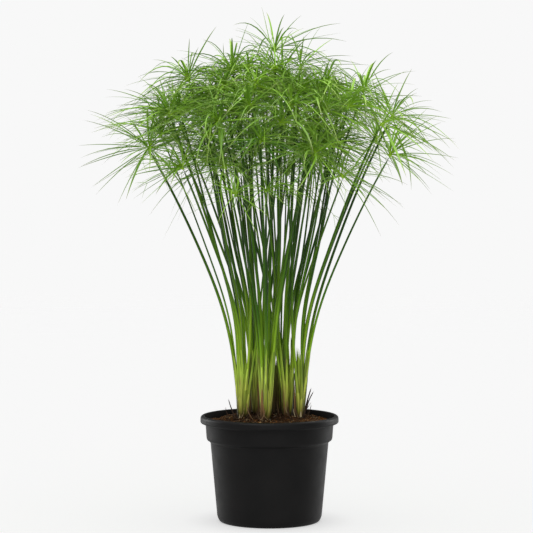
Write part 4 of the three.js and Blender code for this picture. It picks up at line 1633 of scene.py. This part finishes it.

# %% [markdown]
# ## The long bracts
#
# Against the white, single bracts draw the plant's outline, and a formula's bracts would end in
# other places than the real ones. Each of these is placed by its tip, which can be read from the
# front, and springs from the hub that lies behind it.

# %% Long bracts
# The bracts that draw the plant's outline: under the hub that they spring from, the tip of
# each, and how far its middle stands above the straight line to it, all in millimetres.
LONG_BRACTS = {
    (-163, -25, 508): [
        [-260, -30, 513, 3], [-253, -20, 548, 5], [-247, -40, 561, 8], [-258, -10, 484, 6],
        [-235, -35, 446, 4], [-205, -42, 432, 5], [-190, -90, 440, 7], [-224, -14, 540, 6],
    ],
    (163, -14, 499): [
        [258, -12, 496, 4], [252, -20, 523, 6], [250, -24, 472, 7], [218, -20, 453, 6],
        [236, -4, 546, 5], [229, -22, 554, 7], [216, -6, 565, 5],
    ],
    (168, 40, 552): [
        [204, 40, 587, 5], [238, 36, 560, 8], [196, 30, 620, 5],
    ],
    (8, -45, 612): [
        [-11, -44, 700, 3], [58, -50, 668, 2], [-33, -40, 667, 4],
    ],
    (7, 20, 642): [
        [99, 24, 681, 8], [107, 16, 655, 10], [-50, 0, 676, 16], [40, -10, 668, 14],
    ],
    (18, 100, 614): [[118, 96, 640, 9]],
    (-50, 2, 612): [
        [-28, 0, 682, 4], [-91, -6, 655, 12], [-120, -10, 628, 16],
    ],
    (104, -62, 562): [[185, -72, 613, 4], [204, -66, 578, 6]],
    (112, 106, 572): [[172, 100, 622, 12]],
    (98, -62, 470): [
        [149, -60, 391, 8], [174, -66, 405, 9], [181, -58, 428, 9], [186, -56, 460, 8],
    ],
    (-12, -112, 516): [
        [17, -152, 466, 10], [-60, -146, 490, 9], [-42, -158, 482, 8], [40, -160, 496, 9],
    ],
    (-45, -66, 556): [[-66, -84, 478, 6], [-110, -110, 530, 9]],
    (-134, -42, 552): [
        [-206, -50, 566, 6], [-220, -36, 546, 6], [-194, -60, 588, 6],
    ],
    (-128, 50, 550): [[-208, 60, 556, 7]],
    (74, -74, 556): [[62, -110, 480, 8], [130, -120, 520, 9]],
}
LONG_BRACT_WIDTH = (2.9, 4.3)
SAME_HUB = 12 * MM


def long_bracts(hub):
    """The courses of a hub's long bracts: b = -4 * rise, straight up, and a = tip - root - b."""
    tips = np.array([tip for place, tips in LONG_BRACTS.items()
                     if np.linalg.norm(np.array(place) * MM - hub) < SAME_HUB
                     for tip in tips]).reshape(-1, 4)
    tip = tips[:, :3] * MM
    root = hub + unit(tip - hub) * 2 * MM + ROOT_RISE * UP
    b = -4 * tips[:, 3:] * MM * UP
    return root, tip - root - b, b


print("long bracts:", sum(map(len, LONG_BRACTS.values())), "on", len(LONG_BRACTS), "hubs")

# %% Umbels
# An umbel low on the plant is younger and smaller, and one at its top has slimmer blades.
SIZE_BY_HEIGHT = ([440, 500], [0.7, 1.0])
SLIM_BY_HEIGHT = ([590, 640], [1.0, 0.72])
ARCHES_BY_HEIGHT = ([500, 560, 600, 630], ARCH_COUNTS)
SLIGHT_BLADES = np.arange(10) % 4 == 0


def make_umbel(number):
    """
    One umbel: the knob, the blades of its solid or ten of its own, the long bracts, the arching
    blades, and then the fine rays, the threads, and the forks of some rays.
    """
    random = np.random.default_rng(100 + number)
    hub, pose = courses[number, 2], poses[number]
    size = by_mm(hub[2], *SIZE_BY_HEIGHT)
    place = dict(hub=hub, pose=pose, size=size, random=random)
    # pale carries painted light: rays at the crown's top and on its right are made lighter, as if lit
    # from there.
    full, pale = fullness(hub), paleness_with_painted_light(hub)
    growth = Growth()

    def draw(bounds, course):
        """One random value between the bounds for each course."""
        return random.uniform(*bounds, len(course[0]))

    grow_knob(growth, hub, pose, size)
    if number < STEM_COUNT:
        *points, is_bract = (np.array(part) for part in zip(*solid_rays[number]))
        blades = blade_courses(*points, is_bract)
    else:
        is_bract = SLIGHT_BLADES
        blades = ray_courses(**place, **RAYS, count=len(is_bract))
    width = np.where(is_bract, draw(BRACT_WIDTH, blades), draw(BLADE_WIDTH, blades))
    width = width * MM * size * by_mm(hub[2], *SLIM_BY_HEIGHT)
    grow_blades(growth, blades, width, random, pale + draw((0.0, 0.6), blades))
    outline = long_bracts(hub)
    if len(outline[0]):
        width = draw(LONG_BRACT_WIDTH, outline) * MM
        grow_blades(growth, outline, width, random, pale + draw((0.0, 0.4), outline))
    arches = ray_courses(**place, **ARCHES, count=round(by_mm(hub[2], *ARCHES_BY_HEIGHT)))
    width = draw(ARCH_WIDTH, arches) * MM * size
    grow_blades(growth, arches, width, random, pale + draw((0.1, 0.7), arches))
    rays = ray_courses(**place, **RAYS, count=round(RAY_COUNT * full))
    width = draw(RAY_WIDTH, rays) * MM * size
    grow_rays(growth, rays, width, random, pale + draw((0.0, 0.8), rays))
    threads = ray_courses(**place, **THREADS, count=round(THREAD_COUNT * full))
    width = draw(THREAD_WIDTH, threads) * MM
    grow_rays(growth, threads, width, random, draw((0.5, 1.0), threads))
    forked = random.random(len(rays[0])) < FORK_SHARE
    forks = fork_courses([part[forked] for part in rays], random)
    width = np.full(len(forks[0]), FORK_WIDTH * MM)
    grow_rays(growth, forks, width, random, draw((0.6, 1.0), forks))
    if number < STEM_COUNT:
        name, replaces = f"umbel_of_rays_{number + 1:02d}", [f"umbel_{number + 1:02d}"]
    else:
        name, replaces = f"slight_umbel_{number - STEM_COUNT + 1:02d}", []
    return growth.piece(name, leaf, replaces, 60)


umbels = [make_umbel(number) for number in range(len(courses))]
print("umbels:", len(umbels), "pieces,", triangle_count(umbels), "triangles")
